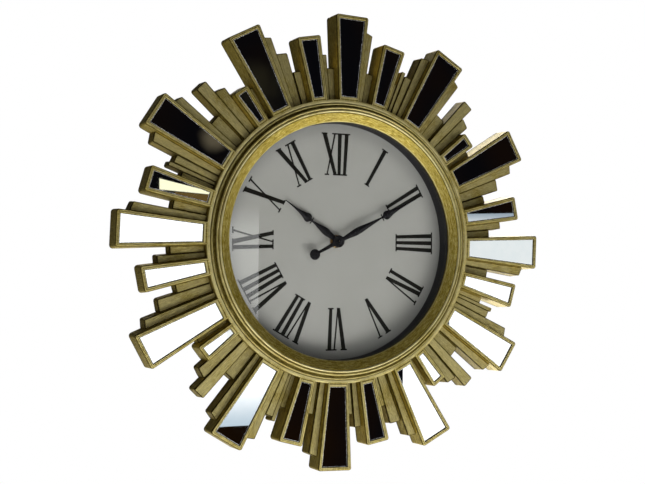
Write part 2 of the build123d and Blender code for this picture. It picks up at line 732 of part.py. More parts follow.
# ---------------------------------------------------------------- stepping motor and electronics
coil_x = -23.0
coil_radius = 3.3
coil_bottom, coil_top = -6.0, 16.0
stator_thickness = 1.0
core_width = 2.0
stator_bottom, stator_top = -9.5, 20.0
stator_height = rotor_layer
rotor_bore = rotor_radius + 0.4
stator_right = rotor_place[0] + 5.0
with BuildPart() as stator_plate:
    with BuildSketch(front_plane(stator_height - stator_thickness / 2)):
        with Locations(((coil_x - core_width / 2 + stator_right) / 2, (stator_bottom + stator_top) / 2)):
            Rectangle(stator_right - coil_x + core_width / 2, stator_top - stator_bottom)
        with Locations(((coil_x + core_width / 2 + stator_right - 2 * core_width) / 2,
                        (stator_bottom + stator_top) / 2)):
            Rectangle(stator_right - 2 * core_width - coil_x - core_width / 2,
                      stator_top - stator_bottom - 3 * core_width, mode=Mode.SUBTRACT)
        with Locations(rotor_place):
            Circle(rotor_bore + 1.6)
            Circle(rotor_bore, mode=Mode.SUBTRACT)
    extrude(amount=stator_thickness)
finish(stator_plate, "stator_plate")

with BuildPart() as coil:
    with BuildSketch(Plane(origin=(coil_x, -stator_height, coil_bottom), z_dir=(0, 0, 1))):
        Circle(coil_radius)
        Rectangle(core_width + 0.1, stator_thickness + 0.1, mode=Mode.SUBTRACT)
    extrude(amount=coil_top - coil_bottom)
finish(coil, "coil")

board_left, board_right = 9.0, 26.0
board_bottom, board_top = 8.0, 26.0
circuit_thickness = 1.0
circuit_back = case_roof + 1.4
crystal_radius = 1.0
crystal_length = 6.0
with BuildPart() as circuit_board:
    with BuildSketch(front_plane(circuit_back)):
        with Locations(((board_left + board_right) / 2, (board_bottom + board_top) / 2)):
            Rectangle(board_right - board_left, board_top - board_bottom)
    extrude(amount=circuit_thickness)
finish(circuit_board, "circuit_board")

crystal_height = circuit_back + circuit_thickness + crystal_radius + running_clearance
with BuildPart() as quartz_crystal:
    with BuildSketch(Plane(origin=(board_left + 8, -crystal_height, board_top - 3), z_dir=(1, 0, 0))):
        Circle(crystal_radius)
    extrude(amount=crystal_length)
finish(quartz_crystal, "quartz_crystal")

# ---------------------------------------------------------------- bushing hardware
with BuildPart() as rubber_washer:
    add(disc(centre, case_front, board_back, washer_radius + 4.0, bushing_radius + bushing_clearance))
finish(rubber_washer, "rubber_washer")

with BuildPart() as brass_washer:
    add(disc(centre, dial_face, dial_face + washer_thickness, washer_radius, bushing_radius + bushing_clearance))
finish(brass_washer, "brass_washer")

with BuildPart() as hex_nut:
    with BuildSketch(front_plane(dial_face + washer_thickness, angle=15)):
        RegularPolygon(nut_flat / 2, 6, major_radius=False)
        Circle(bushing_radius + fitted_clearance, mode=Mode.SUBTRACT)
    extrude(amount=nut_thickness)
finish(hex_nut, "hex_nut")

# ---------------------------------------------------------------- hands
minute_hand_length = spacer_bore - minute_hand_gap
# half-widths along each hand from the hub outwards; the leaf, the tick, the drop and the needle
minute_profile = [(5.0, 1.5), (13.0, 1.9), (24.0, 3.0), (38.0, 1.9), (57.5, 0.9)]
minute_drop = [(58.7, 1.2), (61.0, 3.2), (64.0, 4.2), (69.0, 2.9), (78.0, 1.4)]
minute_tail = [(-31.0, 1.5), (-18.0, 1.2), (-5.0, 1.6)]
hour_profile = [(5.0, 1.6), (10.0, 2.2), (17.5, 3.2), (27.0, 1.9), (36.7, 0.9)]
hour_drop = [(37.9, 1.2), (40.0, 3.2), (43.0, 4.2), (47.5, 2.6), (55.0, 1.3)]
tick_half_length = 3.2
tick_half_width = 0.6
tip_half_width = 0.25


def blade(stations, tip=None):
    """Thin outline that is symmetric about its length, smooth through half-widths at stations along it."""
    sides = [[(side * half, along) for along, half in stations] for side in (-1, 1)]
    with BuildSketch(Plane.XY) as shape:
        with BuildLine():
            left = Spline(*sides[0])
            right = Spline(*sides[1])
            Line(left @ 0, right @ 0)
            if tip:
                Polyline(left @ 1, (-tip_half_width, tip), (tip_half_width, tip), right @ 1)
            else:
                Line(left @ 1, right @ 1)
        make_face()
    return shape.sketch


def hand_sketch(leaf, drop, length, bore, tail=None):
    """Leaf, tick, drop and needle of a hand that points along local +Y, with a round hub."""
    tick_place = (leaf[-1][0] + drop[0][0]) / 2
    with BuildSketch(Plane.XY) as shape:
        add(blade(leaf))
        add(blade(drop, length))
        with Locations((0, tick_place)):
            Rectangle(2 * tick_half_length, 2 * tick_half_width)
        Circle(hand_hub_radius)
        if tail:
            add(blade(tail))
            with Locations((0, -tail_disc_place)):
                Circle(tail_disc_radius)
        Circle(bore, mode=Mode.SUBTRACT)
    return shape.sketch


with BuildPart() as hour_hand:
    with BuildSketch(front_plane(hour_hand_back, angle=hour_angle)):
        add(hand_sketch(hour_profile, hour_drop, hour_hand_length, pipe_radius + fitted_clearance))
    extrude(amount=hand_thickness)
    add(disc(centre, hour_hand_back - 1.0, hour_hand_back, pipe_radius + 0.9, pipe_radius + fitted_clearance))
finish(hour_hand, "hour_hand")

with BuildPart() as minute_hand:
    with BuildSketch(front_plane(minute_hand_back, angle=minute_angle)):
        add(hand_sketch(minute_profile, minute_drop, minute_hand_length, minute_arbor_radius + fitted_clearance,
                        minute_tail))
    extrude(amount=hand_thickness)
finish(minute_hand, "minute_hand")

cap_nut_back = minute_hand_back + hand_thickness
with BuildPart() as cap_nut:
    with BuildSketch(front_plane(cap_nut_back)):
        Circle(cap_nut_radius)
    extrude(amount=cap_nut_height)
    fillet(cap_nut.faces().sort_by(Axis.Y)[0].edges(), cap_nut_height / 3)
    with BuildSketch(front_plane(cap_nut_back)):
        Circle(minute_arbor_radius + fitted_clearance)
    extrude(amount=arbor_front - cap_nut_back + running_clearance, mode=Mode.SUBTRACT)
finish(cap_nut, "cap_nut")

for label, place in (("third", third_place), ("intermediate", intermediate_place), ("rotor", rotor_place),
                     ("minute wheel", minute_place), ("knob", knob_place)):
    print(f"{label} arbor x {place[0]:.4f} z {place[1]:.4f}")
print(f"keyhole z {keyhole_z:.4f} y {-(hanger_back + hanger_front) / 2:.4f}  battery z {battery_z:.3f}")
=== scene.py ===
"""Looks of a sunburst wall clock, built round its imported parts.

Metres, in the parts' own frame: the dial faces -Y, +X is to the right of the dial, and +Z points to twelve
o'clock.  Sizes in the tables below are in millimetres.  A height is measured towards the front, so a height h
lies at Y = -h.  A clock angle is in degrees, clockwise from +Z as seen from the front.
"""
import bpy
import numpy as np
from mathutils import Matrix, Vector


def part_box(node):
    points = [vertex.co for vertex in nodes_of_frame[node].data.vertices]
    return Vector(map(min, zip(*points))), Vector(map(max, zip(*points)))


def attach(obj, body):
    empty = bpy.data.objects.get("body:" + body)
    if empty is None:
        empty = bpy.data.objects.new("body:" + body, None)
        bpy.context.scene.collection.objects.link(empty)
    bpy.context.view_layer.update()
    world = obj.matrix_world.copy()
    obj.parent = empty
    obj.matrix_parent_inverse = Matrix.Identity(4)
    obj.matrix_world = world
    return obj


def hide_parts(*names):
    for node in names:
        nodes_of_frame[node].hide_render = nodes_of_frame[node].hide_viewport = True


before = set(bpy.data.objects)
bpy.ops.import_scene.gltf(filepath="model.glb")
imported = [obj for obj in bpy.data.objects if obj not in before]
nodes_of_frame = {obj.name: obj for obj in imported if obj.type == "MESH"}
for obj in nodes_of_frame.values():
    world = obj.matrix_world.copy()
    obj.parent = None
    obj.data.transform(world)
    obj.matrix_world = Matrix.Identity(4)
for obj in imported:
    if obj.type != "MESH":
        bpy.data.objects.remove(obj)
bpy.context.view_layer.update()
bpy.context.scene.view_settings.view_transform = "Standard"

MM = 0.001
TURN = 2 * np.pi

# ---------------------------------------------------------------- sizes shared by the pieces
BAR_FACE = 20.2
BAR_BACK = -4.8
COLLAR_OUTER = 150.0
MIRROR_FACE = 18.7
MIRROR_BACK = 16.7
GLASS_FRONT = 18.2
GLASS_BACK = 16.2
DIAL_FACE = -1.0
HOUR_HAND_BACK = 4.6
MINUTE_HAND_BACK = 6.6
HOUR_ANGLE = 305.2
MINUTE_ANGLE = 62.4

# span in degrees, length beyond the collar at the first and last side, step down, kind of inlay
LONG, MEDIUM, SMALL = 90.77, 68.0, 41.0
PLAIN, LARGE_INLAY, MEDIUM_INLAY, SMALL_INLAY = range(4)
QUARTER = np.array([
    (9.00, LONG, LONG, 0.0, LARGE_INLAY),
    (2.40, 78.0, 75.0, 7.0, PLAIN),
    (3.75, 58.0, 56.0, 12.0, PLAIN),
    (2.85, 35.0, 35.0, 11.0, PLAIN),
    (7.00, MEDIUM, MEDIUM, 0.0, MEDIUM_INLAY),
    (2.35, 49.0, 49.0, 9.0, PLAIN),
    (2.65, 35.0, 35.0, 11.0, PLAIN),
    (9.00, LONG, LONG, 0.0, LARGE_INLAY),
    (2.50, 78.0, 75.0, 7.0, PLAIN),
    (2.95, 35.0, 35.0, 11.0, PLAIN),
    (7.10, MEDIUM, MEDIUM, 0.0, MEDIUM_INLAY),
    (2.05, 35.0, 35.0, 11.0, PLAIN),
    (1.30, 51.0, 51.0, 9.5, PLAIN),
    (2.50, 47.5, 47.5, 8.0, PLAIN),
    (2.60, 75.0, 78.0, 7.0, PLAIN),
    (9.00, LONG, LONG, 0.0, LARGE_INLAY),
    (2.45, 78.0, 75.0, 7.0, PLAIN),
    (4.05, 35.0, 35.0, 11.0, PLAIN),
    (3.50, 69.5, 69.5, 6.5, PLAIN),
    (3.40, 55.0, 52.0, 8.5, PLAIN),
    (5.50, SMALL, SMALL, 0.0, SMALL_INLAY),
    (2.10, 36.0, 36.0, 11.0, PLAIN),
])
FIRST_BAR = 2.1 - 30.0 - 4.5
# rim beside each kind of mirror at its root and at its tip, none on plain bars
RIMS = np.array([(0.0, 0.0), (3.3, 4.0), (4.2, 4.3), (4.4, 4.0)])


# ---------------------------------------------------------------- mesh helpers
def smoothstep(x, low, high):
    """0 below low, 1 above high, and 3t^2 - 2t^3 between them."""
    t = np.clip((x - low) / (high - low), 0, 1)
    return t * t * (3 - 2 * t)


def in_frame(across, up, height):
    """Points given in millimetres, in the frame's metres: X is across, Y is minus the height, Z is up."""
    return np.stack(np.broadcast_arrays(across, -np.asarray(height, float), up), -1) * MM


def signed_volume(points, faces):
    """Sum over the faces' fan triangles of a . (b x c) / 6, which is positive when faces point outwards."""
    sizes = np.array([len(f) for f in faces])
    total = 0.0
    for size in np.unique(sizes):
        corners = points[np.array([f for f in faces if len(f) == size])]
        fan = corners[:, 1:-1], corners[:, 2:]
        total += np.einsum("fti,fti->", corners[:, :1] + 0 * fan[0], np.cross(fan[0], fan[1]))
    return total / 6


def piece(name, points, faces, material, body="clock_case", attributes=None, smooth=35.0, outward=True):
    """Mesh object from points [V, 3] and faces turned outwards, with point attributes and sharp edges."""
    points = np.asarray(points, float).reshape(-1, 3)
    if outward and signed_volume(points - points.mean(0), faces) < 0:
        faces = [f[::-1] for f in faces]
    mesh = bpy.data.meshes.new(name)
    mesh.from_pydata(points.tolist(), [], faces)
    for key, values in (attributes or {}).items():
        values = np.asarray(values, np.float32)
        if values.ndim == 2:
            mesh.attributes.new(key, "FLOAT_VECTOR", "POINT").data.foreach_set("vector", values.ravel())
        else:
            mesh.attributes.new(key, "FLOAT", "POINT").data.foreach_set("value", values.ravel())
    mesh.polygons.foreach_set("use_smooth", np.full(len(mesh.polygons), smooth is not None))
    if smooth is not None:
        mesh.set_sharp_from_angle(angle=np.radians(smooth))
    mesh.materials.append(material)
    mesh.update()
    made = bpy.data.objects.new(name, mesh)
    bpy.context.scene.collection.objects.link(made)
    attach(made, body)
    return made


def loft_faces(shells, rings, around, first=0):
    """Faces of shells of stacked closed rings, with a flat cap on each shell's first and last ring."""
    s, r, k = np.meshgrid(np.arange(shells), np.arange(rings - 1), np.arange(around), indexing="ij")
    at = lambda ring, step: first + (s * rings + ring) * around + step % around
    sides = np.stack([at(r, k), at(r, k + 1), at(r + 1, k + 1), at(r + 1, k)], -1).reshape(-1, 4).tolist()
    start = first + np.arange(shells)[:, None] * rings * around
    low = (start + np.arange(around)[::-1]).tolist()
    high = (start + (rings - 1) * around + np.arange(around)).tolist()
    return sides + low + high


def turned_faces(segments, stations, first=0):
    """Faces of a closed profile of stations carried round a full turn in segments."""
    s, p = np.meshgrid(np.arange(segments), np.arange(stations), indexing="ij")
    at = lambda seg, station: first + (seg % segments) * stations + station % stations
    return np.stack([at(s, p), at(s, p + 1), at(s + 1, p + 1), at(s + 1, p)], -1).reshape(-1, 4).tolist()


def turned_points(profile, segments, centre=(0.0, 0.0)):
    """Points (r sin t, r cos t) about a centre for each turn t and each (radius, height) of the profile."""
    t = np.arange(segments)[:, None] * TURN / segments
    r, h = profile[None, :, 0], profile[None, :, 1]
    return in_frame(centre[0] + r * np.sin(t), centre[1] + r * np.cos(t), h + 0 * t).reshape(-1, 3)


def along_profile(profile):
    """Distance travelled along a profile at each of its points."""
    steps = np.hypot(*np.diff(profile, axis=0).T)
    return np.concatenate([[0.0], np.cumsum(steps)])


def bent_profile(points, pitch):
    """Profile through the points, divided so that no step is longer than the pitch."""
    points = np.asarray(points, float)
    parts = [points[:1]]
    for a, b in zip(points[:-1], points[1:]):
        n = max(1, int(np.ceil(np.hypot(*(b - a)) / pitch)))
        parts.append(a + (b - a) * (np.arange(1, n + 1) / n)[:, None])
    return np.concatenate(parts)


def arc(centre, radius, start, end, count):
    """Points (c0 + r cos a, c1 + r sin a) for count angles a from start to end, in degrees."""
    a = np.radians(np.linspace(start, end, count))
    return [(centre[0] + radius * np.cos(x), centre[1] + radius * np.sin(x)) for x in a]


# ---------------------------------------------------------------- material helpers
class Finish:
    """A node material with one Principled shader, and short names for the nodes that feed it."""

    def __init__(self, name, **sockets):
        self.material = bpy.data.materials.new(name)
        self.material.use_nodes = True
        self.tree = self.material.node_tree
        self.shader = self.tree.nodes["Principled BSDF"]
        for key, value in sockets.items():
            self.shader.inputs[key.replace("_", " ")].default_value = value

    def node(self, kind, **settings):
        made = self.tree.nodes.new(kind)
        for key, value in settings.items():
            setattr(made, key, value)
        return made

    def link(self, value, socket):
        if isinstance(value, bpy.types.NodeSocket):
            self.tree.links.new(value, socket)
        else:
            socket.default_value = value

    def place(self, scale=(1, 1, 1)):
        """Object coordinates times a scale for each axis."""
        mapped = self.node("ShaderNodeMapping")
        self.link(self.node("ShaderNodeTexCoord").outputs["Object"], mapped.inputs["Vector"])
        mapped.inputs["Scale"].default_value = scale
        return mapped.outputs["Vector"]

    def attribute(self, name, output="Fac"):
        return self.node("ShaderNodeAttribute", attribute_name=name).outputs[output]

    def noise(self, where, scale, detail=4.0, roughness=0.55, distortion=0.0):
        made = self.node("ShaderNodeTexNoise")
        self.link(where, made.inputs["Vector"])
        made.inputs["Scale"].default_value = scale
        made.inputs["Detail"].default_value = detail
        made.inputs["Roughness"].default_value = roughness
        made.inputs["Distortion"].default_value = distortion
        return made.outputs[0]

    def math(self, operation, a, b=0.0, clamp=False):
        made = self.node("ShaderNodeMath", operation=operation, use_clamp=clamp)
        self.link(a, made.inputs[0])
        self.link(b, made.inputs[1])
        return made.outputs[0]

    def spread(self, value, low, high, to_low=0.0, to_high=1.0):
        """The value's range low..high carried smoothly to to_low..to_high, clamped."""
        made = self.node("ShaderNodeMapRange", interpolation_type="SMOOTHSTEP")
        self.link(value, made.inputs["Value"])
        for key, number in (("From Min", low), ("From Max", high), ("To Min", to_low), ("To Max", to_high)):
            made.inputs[key].default_value = number
        return made.outputs["Result"]

    def blend(self, factor, a, b):
        made = self.node("ShaderNodeMix", data_type="RGBA")
        self.link(factor, made.inputs[0])
        self.link(a, made.inputs[6])
        self.link(b, made.inputs[7])
        return made.outputs[2]

    def radius(self, centre=(0.0, 0.0)):
        """Distance in metres from an axis along Y through the centre."""
        parts = self.node("ShaderNodeSeparateXYZ")
        self.link(self.place(), parts.inputs[0])
        x = self.math("SUBTRACT", parts.outputs["X"], centre[0])
        z = self.math("SUBTRACT", parts.outputs["Z"], centre[1])
        square = self.math("ADD", self.math("MULTIPLY", x, x), self.math("MULTIPLY", z, z))
        return self.math("SQRT", square)

    def relief(self, height, distance, strength=1.0):
        made = self.node("ShaderNodeBump")
        made.inputs["Strength"].default_value = strength
        made.inputs["Distance"].default_value = distance
        self.link(height, made.inputs["Height"])
        self.link(made.outputs["Normal"], self.shader.inputs["Normal"])

    def set(self, **sockets):
        for key, value in sockets.items():
            self.link(value, self.shader.inputs[key.replace("_", " ")])
        return self.material


def grey(value, alpha=1.0):
    return (value, value, value, alpha)


# ---------------------------------------------------------------- finishes
def antique_gold():
    """Brushed antique gold: streaks run along a piece, painted shade lies dark in creases, recesses and on the
    low bars, and edges carry rubbing with a painted highlight.
    """
    f = Finish("antique_gold", Metallic=0.92)
    brush = f.attribute("brush", "Vector")
    broad = f.noise(brush, 75.0, 3.0, 0.6)
    streak = f.noise(brush, 170.0, 4.0, 0.65)
    fine = f.noise(brush, 560.0, 3.0, 0.6)
    cloud = f.noise(f.place(), 38.0, 4.0, 0.6)
    tone = f.math("ADD", f.math("MULTIPLY", streak, 0.60), f.math("MULTIPLY", fine, 0.40))
    pale, mid, deep = (0.900, 0.760, 0.270, 1), (0.590, 0.450, 0.055, 1), (0.170, 0.110, 0.003, 1)
    gold = f.blend(f.spread(tone, 0.38, 0.54), deep, mid)
    gold = f.blend(f.spread(tone, 0.48, 0.62), gold, pale)
    gold = f.blend(f.spread(broad, 0.40, 0.66, 0.40, 0.0), gold, (0.22, 0.150, 0.010, 1))
    # pale rubbing on edges, laid on partly as a painted highlight on rounds, beads and lips
    highlight_and_wear = f.attribute("wear_and_highlight")
    rubbed_highlight = f.math("MULTIPLY", highlight_and_wear, f.spread(cloud, 0.30, 0.55, 0.35, 1.0))
    gold = f.blend(rubbed_highlight, gold, (0.96, 0.88, 0.48, 1))
    # painted shade: near black laid into creases, recesses, back edges and low bars, standing in for occlusion
    painted_shade = f.attribute("painted_shade")
    crease_shade = f.math("MULTIPLY", painted_shade, f.spread(tone, 0.36, 0.62, 1.0, 0.70), clamp=True)
    gold = f.blend(crease_shade, gold, (0.026, 0.016, 0.001, 1))
    brushed = f.spread(fine, 0.3, 0.7, 0.36, 0.52)
    roughness = f.math("ADD", brushed, f.math("MULTIPLY", painted_shade, 0.20), clamp=True)
    f.relief(tone, 0.00025, 0.6)
    return f.set(Base_Color=gold, Roughness=roughness)


def mirror_glass():
    """Silvered glass with a trace of unevenness."""
    f = Finish("mirror_glass", Metallic=1.0)
    haze = f.noise(f.place(), 60.0, 2.0)
    tint = f.blend(f.spread(haze, 0.35, 0.65), (0.90, 0.925, 0.935, 1), (0.93, 0.945, 0.95, 1))
    return f.set(Base_Color=tint, Roughness=f.spread(haze, 0.3, 0.7, 0.006, 0.018))


def ground_edge():
    """Ground glass edge, pale and finely chipped."""
    f = Finish("ground_glass_edge", Metallic=0.55)
    chips = f.noise(f.place(), 900.0, 3.0, 0.6)
    tint = f.blend(f.spread(chips, 0.35, 0.65), (0.45, 0.47, 0.47, 1), (1.0, 1.0, 1.0, 1))
    f.relief(chips, 0.0002, 0.6)
    return f.set(Base_Color=tint, Roughness=f.spread(chips, 0.3, 0.7, 0.12, 0.35))


def clear_glass():
    """Clear flat glass, carried as a faint even mirror."""
    f = Finish("clear_glass", Metallic=1.0, Alpha=0.075)
    smear = f.noise(f.place(), 14.0, 3.0)
    return f.set(Base_Color=(0.97, 0.985, 0.98, 1), Roughness=f.spread(smear, 0.35, 0.7, 0.012, 0.035))


def dial_paint():
    """Matt warm grey paint, with painted shade that darkens it towards the rim, where the spacer and bezel walls
    shade the dial.
    """
    f = Finish("dial_paint", Metallic=0.0)
    grain = f.noise(f.place(), 1400.0, 3.0, 0.6)
    cloud = f.noise(f.place(), 16.0, 2.0)
    paint = f.blend(f.spread(cloud, 0.3, 0.7), (0.264, 0.266, 0.242, 1), (0.280, 0.281, 0.258, 1))
    paint = f.blend(f.spread(grain, 0.35, 0.65, 0.0, 0.10), paint, (0.210, 0.210, 0.194, 1))
    # painted shade: darker paint towards the rim stands in for the walls' shadow on the dial
    rim = f.spread(f.radius(), 0.104, 0.129, 0.0, 0.42)
    paint = f.blend(rim, paint, (0.120, 0.123, 0.118, 1))
    f.relief(grain, 0.00008, 0.3)
    return f.set(Base_Color=paint, Roughness=f.spread(grain, 0.3, 0.7, 0.52, 0.66))


def printing_ink():
    """Matt black ink with a faint uneven density."""
    f = Finish("printing_ink")
    grain = f.noise(f.place(), 700.0, 3.0)
    ink = f.blend(f.spread(grain, 0.35, 0.7), (0.002, 0.002, 0.001, 1), (0.007, 0.007, 0.005, 1))
    f.shader.inputs["Specular IOR Level"].default_value = 0.2
    return f.set(Base_Color=ink, Roughness=f.spread(grain, 0.3, 0.7, 0.45, 0.6))


def speckled(name, low, high, scale, rough, bump=0.0001, stretch=(1, 1, 1), metallic=0.0, detail=4.0):
    """Two tones mixed by a noise of one scale, with roughness and relief from the same noise."""
    f = Finish(name, Metallic=metallic)
    grain = f.noise(f.place(stretch), scale, detail, 0.6)
    colour = f.blend(f.spread(grain, 0.32, 0.68), low + (1,), high + (1,))
    f.relief(grain, bump, 0.5)
    return f.set(Base_Color=colour, Roughness=f.spread(grain, 0.3, 0.7, rough[0], rough[1]))


def fibreboard():
    """Raw fibreboard: fine fibres and darker flecks over a cloudy brown."""
    f = Finish("fibreboard")
    fibre = f.noise(f.place((1, 1, 3)), 900.0, 5.0, 0.7, 1.5)
    cloud = f.noise(f.place(), 30.0, 3.0)
    fleck = f.noise(f.place(), 420.0, 2.0, 0.7)
    colour = f.blend(f.spread(fibre, 0.3, 0.7), (0.23, 0.140, 0.070, 1), (0.42, 0.29, 0.165, 1))
    colour = f.blend(f.spread(cloud, 0.35, 0.65, 0.0, 0.35), colour, (0.30, 0.195, 0.10, 1))
    colour = f.blend(f.spread(fleck, 0.60, 0.72, 0.0, 0.7), colour, (0.12, 0.07, 0.035, 1))
    f.relief(fibre, 0.00025, 0.6)
    return f.set(Base_Color=colour, Roughness=f.spread(fibre, 0.3, 0.7, 0.75, 0.95))


def cell_wrap(button_end, body_end):
    """Wrap of a cell along its length: steel end, dark body, copper-coloured shoulder, steel button."""
    f = Finish("cell_wrap")
    parts = f.node("ShaderNodeSeparateXYZ")
    f.link(f.place(), parts.inputs[0])
    x = parts.outputs["X"]
    grain = f.noise(f.place(), 500.0, 3.0)
    body = f.blend(f.spread(grain, 0.3, 0.7), (0.020, 0.024, 0.028, 1), (0.034, 0.038, 0.044, 1))
    shoulder = button_end - 0.0125
    blur = 0.00015
    colour = f.blend(f.spread(x, shoulder - blur, shoulder + blur), body, (0.46, 0.20, 0.075, 1))
    button = f.spread(x, button_end - 0.0003, button_end)
    flat_end = f.spread(x, body_end + 0.0008, body_end)
    steel = f.math("MAXIMUM", button, flat_end)
    colour = f.blend(steel, colour, (0.62, 0.62, 0.60, 1))
    metal = f.math("MAXIMUM", steel, f.spread(x, shoulder - blur, shoulder + blur, 0.0, 0.6))
    return f.set(Base_Color=colour, Metallic=metal, Roughness=f.spread(grain, 0.3, 0.7, 0.22, 0.34))


GOLD = antique_gold()
MIRROR = mirror_glass()
EDGE = ground_edge()
GLASS = clear_glass()
DIAL = dial_paint()
INK = printing_ink()
BOARD = fibreboard()
SPACER = speckled("black_spacer_plastic", (0.004, 0.004, 0.005), (0.011, 0.010, 0.012), 900.0, (0.5, 0.7))
DRUM = speckled("black_case_plastic", (0.012, 0.012, 0.012), (0.030, 0.029, 0.028), 700.0, (0.45, 0.65),
                0.0002)
CASE = speckled("movement_plastic", (0.014, 0.014, 0.016), (0.034, 0.034, 0.037), 2200.0, (0.38, 0.58),
                0.00015)
STEEL = speckled("zinc_plated_steel", (0.42, 0.43, 0.44), (0.72, 0.72, 0.70), 220.0, (0.26, 0.44), 0.00005,
                 (1, 1, 4), 1.0)
BRASS = speckled("turned_brass", (0.58, 0.37, 0.12), (0.83, 0.60, 0.26), 400.0, (0.2, 0.36), 0.00005,
                 metallic=1.0)
HAND = speckled("hand_lacquer", (0.004, 0.004, 0.005), (0.012, 0.012, 0.013), 500.0, (0.16, 0.28), 0.00003,
                metallic=0.35)
COPPER = speckled("enamelled_copper", (0.30, 0.10, 0.035), (0.62, 0.25, 0.09), 300.0, (0.3, 0.45), 0.0002,
                  (1, 1, 40), 0.8)
MAGNET = speckled("sintered_magnet", (0.10, 0.10, 0.11), (0.20, 0.20, 0.21), 900.0, (0.4, 0.6), 0.0001,
                  metallic=0.6)
CIRCUIT = speckled("circuit_lacquer", (0.012, 0.085, 0.035), (0.03, 0.17, 0.07), 260.0, (0.25, 0.4))
RUBBER = speckled("soft_rubber", (0.014, 0.014, 0.014), (0.03, 0.03, 0.03), 1500.0, (0.7, 0.9), 0.0002)
WHITE_GEAR = speckled("moulded_gear_plastic", (0.68, 0.67, 0.62), (0.82, 0.81, 0.77), 500.0, (0.32, 0.45))

# ---------------------------------------------------------------- sunburst bars
BARS = np.tile(QUARTER, (4, 1))
SPAN, FIRST, LAST, STEP = BARS[:, 0], BARS[:, 1], BARS[:, 2], BARS[:, 3]
KIND = BARS[:, 4].astype(int)
MIDDLE = np.radians(FIRST_BAR + np.cumsum(SPAN) - SPAN / 2)
HALF = np.radians(SPAN / 2)
ROOT = 148.6
CORNER_STEPS = 6
JOINT_GAP = 0.05
STREAK = 11              # how many times finer the brush pattern is across a piece than along it
GRAIN_SHIFT = 0.173      # from one bar's brush pattern to the next bar's
LOW_BAR_SHADE = 0.42     # painted shade on the lowest bars, which sit deepest; the finish clamps what goes past one


def bar_quads(which, root=ROOT):
    """Outlines of bars as (along, across) corners: radial sides at plus and minus half the span, from root to
    end.  An inlaid bar ends square at its length, a plain one runs from its first to its last length."""
    half = HALF[which]
    reach = np.stack([COLLAR_OUTER + FIRST[which], COLLAR_OUTER + LAST[which]], -1)
    reach = np.where((KIND[which] > 0)[:, None], reach / np.cos(half)[:, None], reach)
    radius = np.stack([np.full(half.shape, root), reach[:, 0], reach[:, 1], np.full(half.shape, root)], -1)
    side = np.array([-1, -1, 1, 1])
    return np.stack([radius * np.cos(half)[:, None], side * radius * np.sin(half)[:, None]], -1)


def mirror_quads(which, grow=0.0):
    """Outlines of mirrors as (along, across) corners: straight sides, inside the bar by its kind's rims."""
    root, tip = COLLAR_OUTER + 3.5, COLLAR_OUTER + FIRST[which] - 4.0
    slope = np.tan(HALF[which])
    root_half = root * slope - RIMS[KIND[which], 0] + grow
    tip_half = tip * slope - RIMS[KIND[which], 1] + grow
    root, tip = np.full(slope.shape, root - grow), tip + grow
    return np.stack([np.stack([root, tip, tip, root], -1),
                     np.stack([-root_half, -tip_half, tip_half, root_half], -1)], -1)


def outward(quads):
    """Outward unit normals of the edges of quads that run counter-clockwise: (dy, -dx) / length."""
    edge = np.roll(quads, -1, axis=1) - quads
    edge /= np.linalg.norm(edge, axis=-1, keepdims=True)
    return np.stack([edge[..., 1], -edge[..., 0]], -1)


def drawn_in(quads, distance, radius=0.0):
    """Corners moved in until each lies distance + radius from both its edges, with a distance for each edge
    and a radius for each corner: a corner x solves x.n = -d for its two edges."""
    n_next = outward(quads)
    n_last = np.roll(n_next, 1, axis=1)
    distance = np.broadcast_to(distance, quads.shape[:2])
    d_next = distance + radius
    d_last = np.roll(distance, 1, axis=1) + radius
    c = np.sum(n_next * n_last, -1)
    k = 1 - c * c
    along_last = ((d_last - c * d_next) / k)[..., None] * n_last
    along_next = ((d_next - c * d_last) / k)[..., None] * n_next
    return quads - along_last - along_next


def rounded(quads, distance, radius):
    """Ring round quads drawn in by the distances, each corner an arc c + r (cos a, sin a) between the normals
    of its edges.  Returns the points [N, 4 * CORNER_STEPS, 2] and the outward directions there."""
    radius = np.broadcast_to(radius, quads.shape[:2])
    core = drawn_in(quads, distance, radius)
    n_next = outward(quads)
    n_last = np.roll(n_next, 1, axis=1)
    start = np.arctan2(n_last[..., 1], n_last[..., 0])
    sweep = (np.arctan2(n_next[..., 1], n_next[..., 0]) - start + np.pi) % TURN - np.pi
    a = start[..., None] + sweep[..., None] * np.linspace(0, 1, CORNER_STEPS)
    way = np.stack([np.cos(a), np.sin(a)], -1)
    points = core[:, :, None] + radius[..., None, None] * way
    return points.reshape(len(quads), -1, 2), way.reshape(len(quads), -1, 2)


def edge_gaps(side, tip):
    """Distances for the four edges of a bar, its root end staying where it is."""
    side, tip = np.broadcast_arrays(np.asarray(side, float), np.asarray(tip, float))
    return np.stack([side, tip, side, np.zeros_like(side)], -1)


def on_bars(which, local, height):
    """Points of the frame from (along, across) on each bar's own axis and heights."""
    sin, cos = np.sin(MIDDLE[which]), np.cos(MIDDLE[which])
    shape = (-1,) + (1,) * (local.ndim - 2)
    sin, cos = sin.reshape(shape), cos.reshape(shape)
    along, across = local[..., 0], local[..., 1]
    return in_frame(along * sin + across * cos, along * cos - across * sin, height)


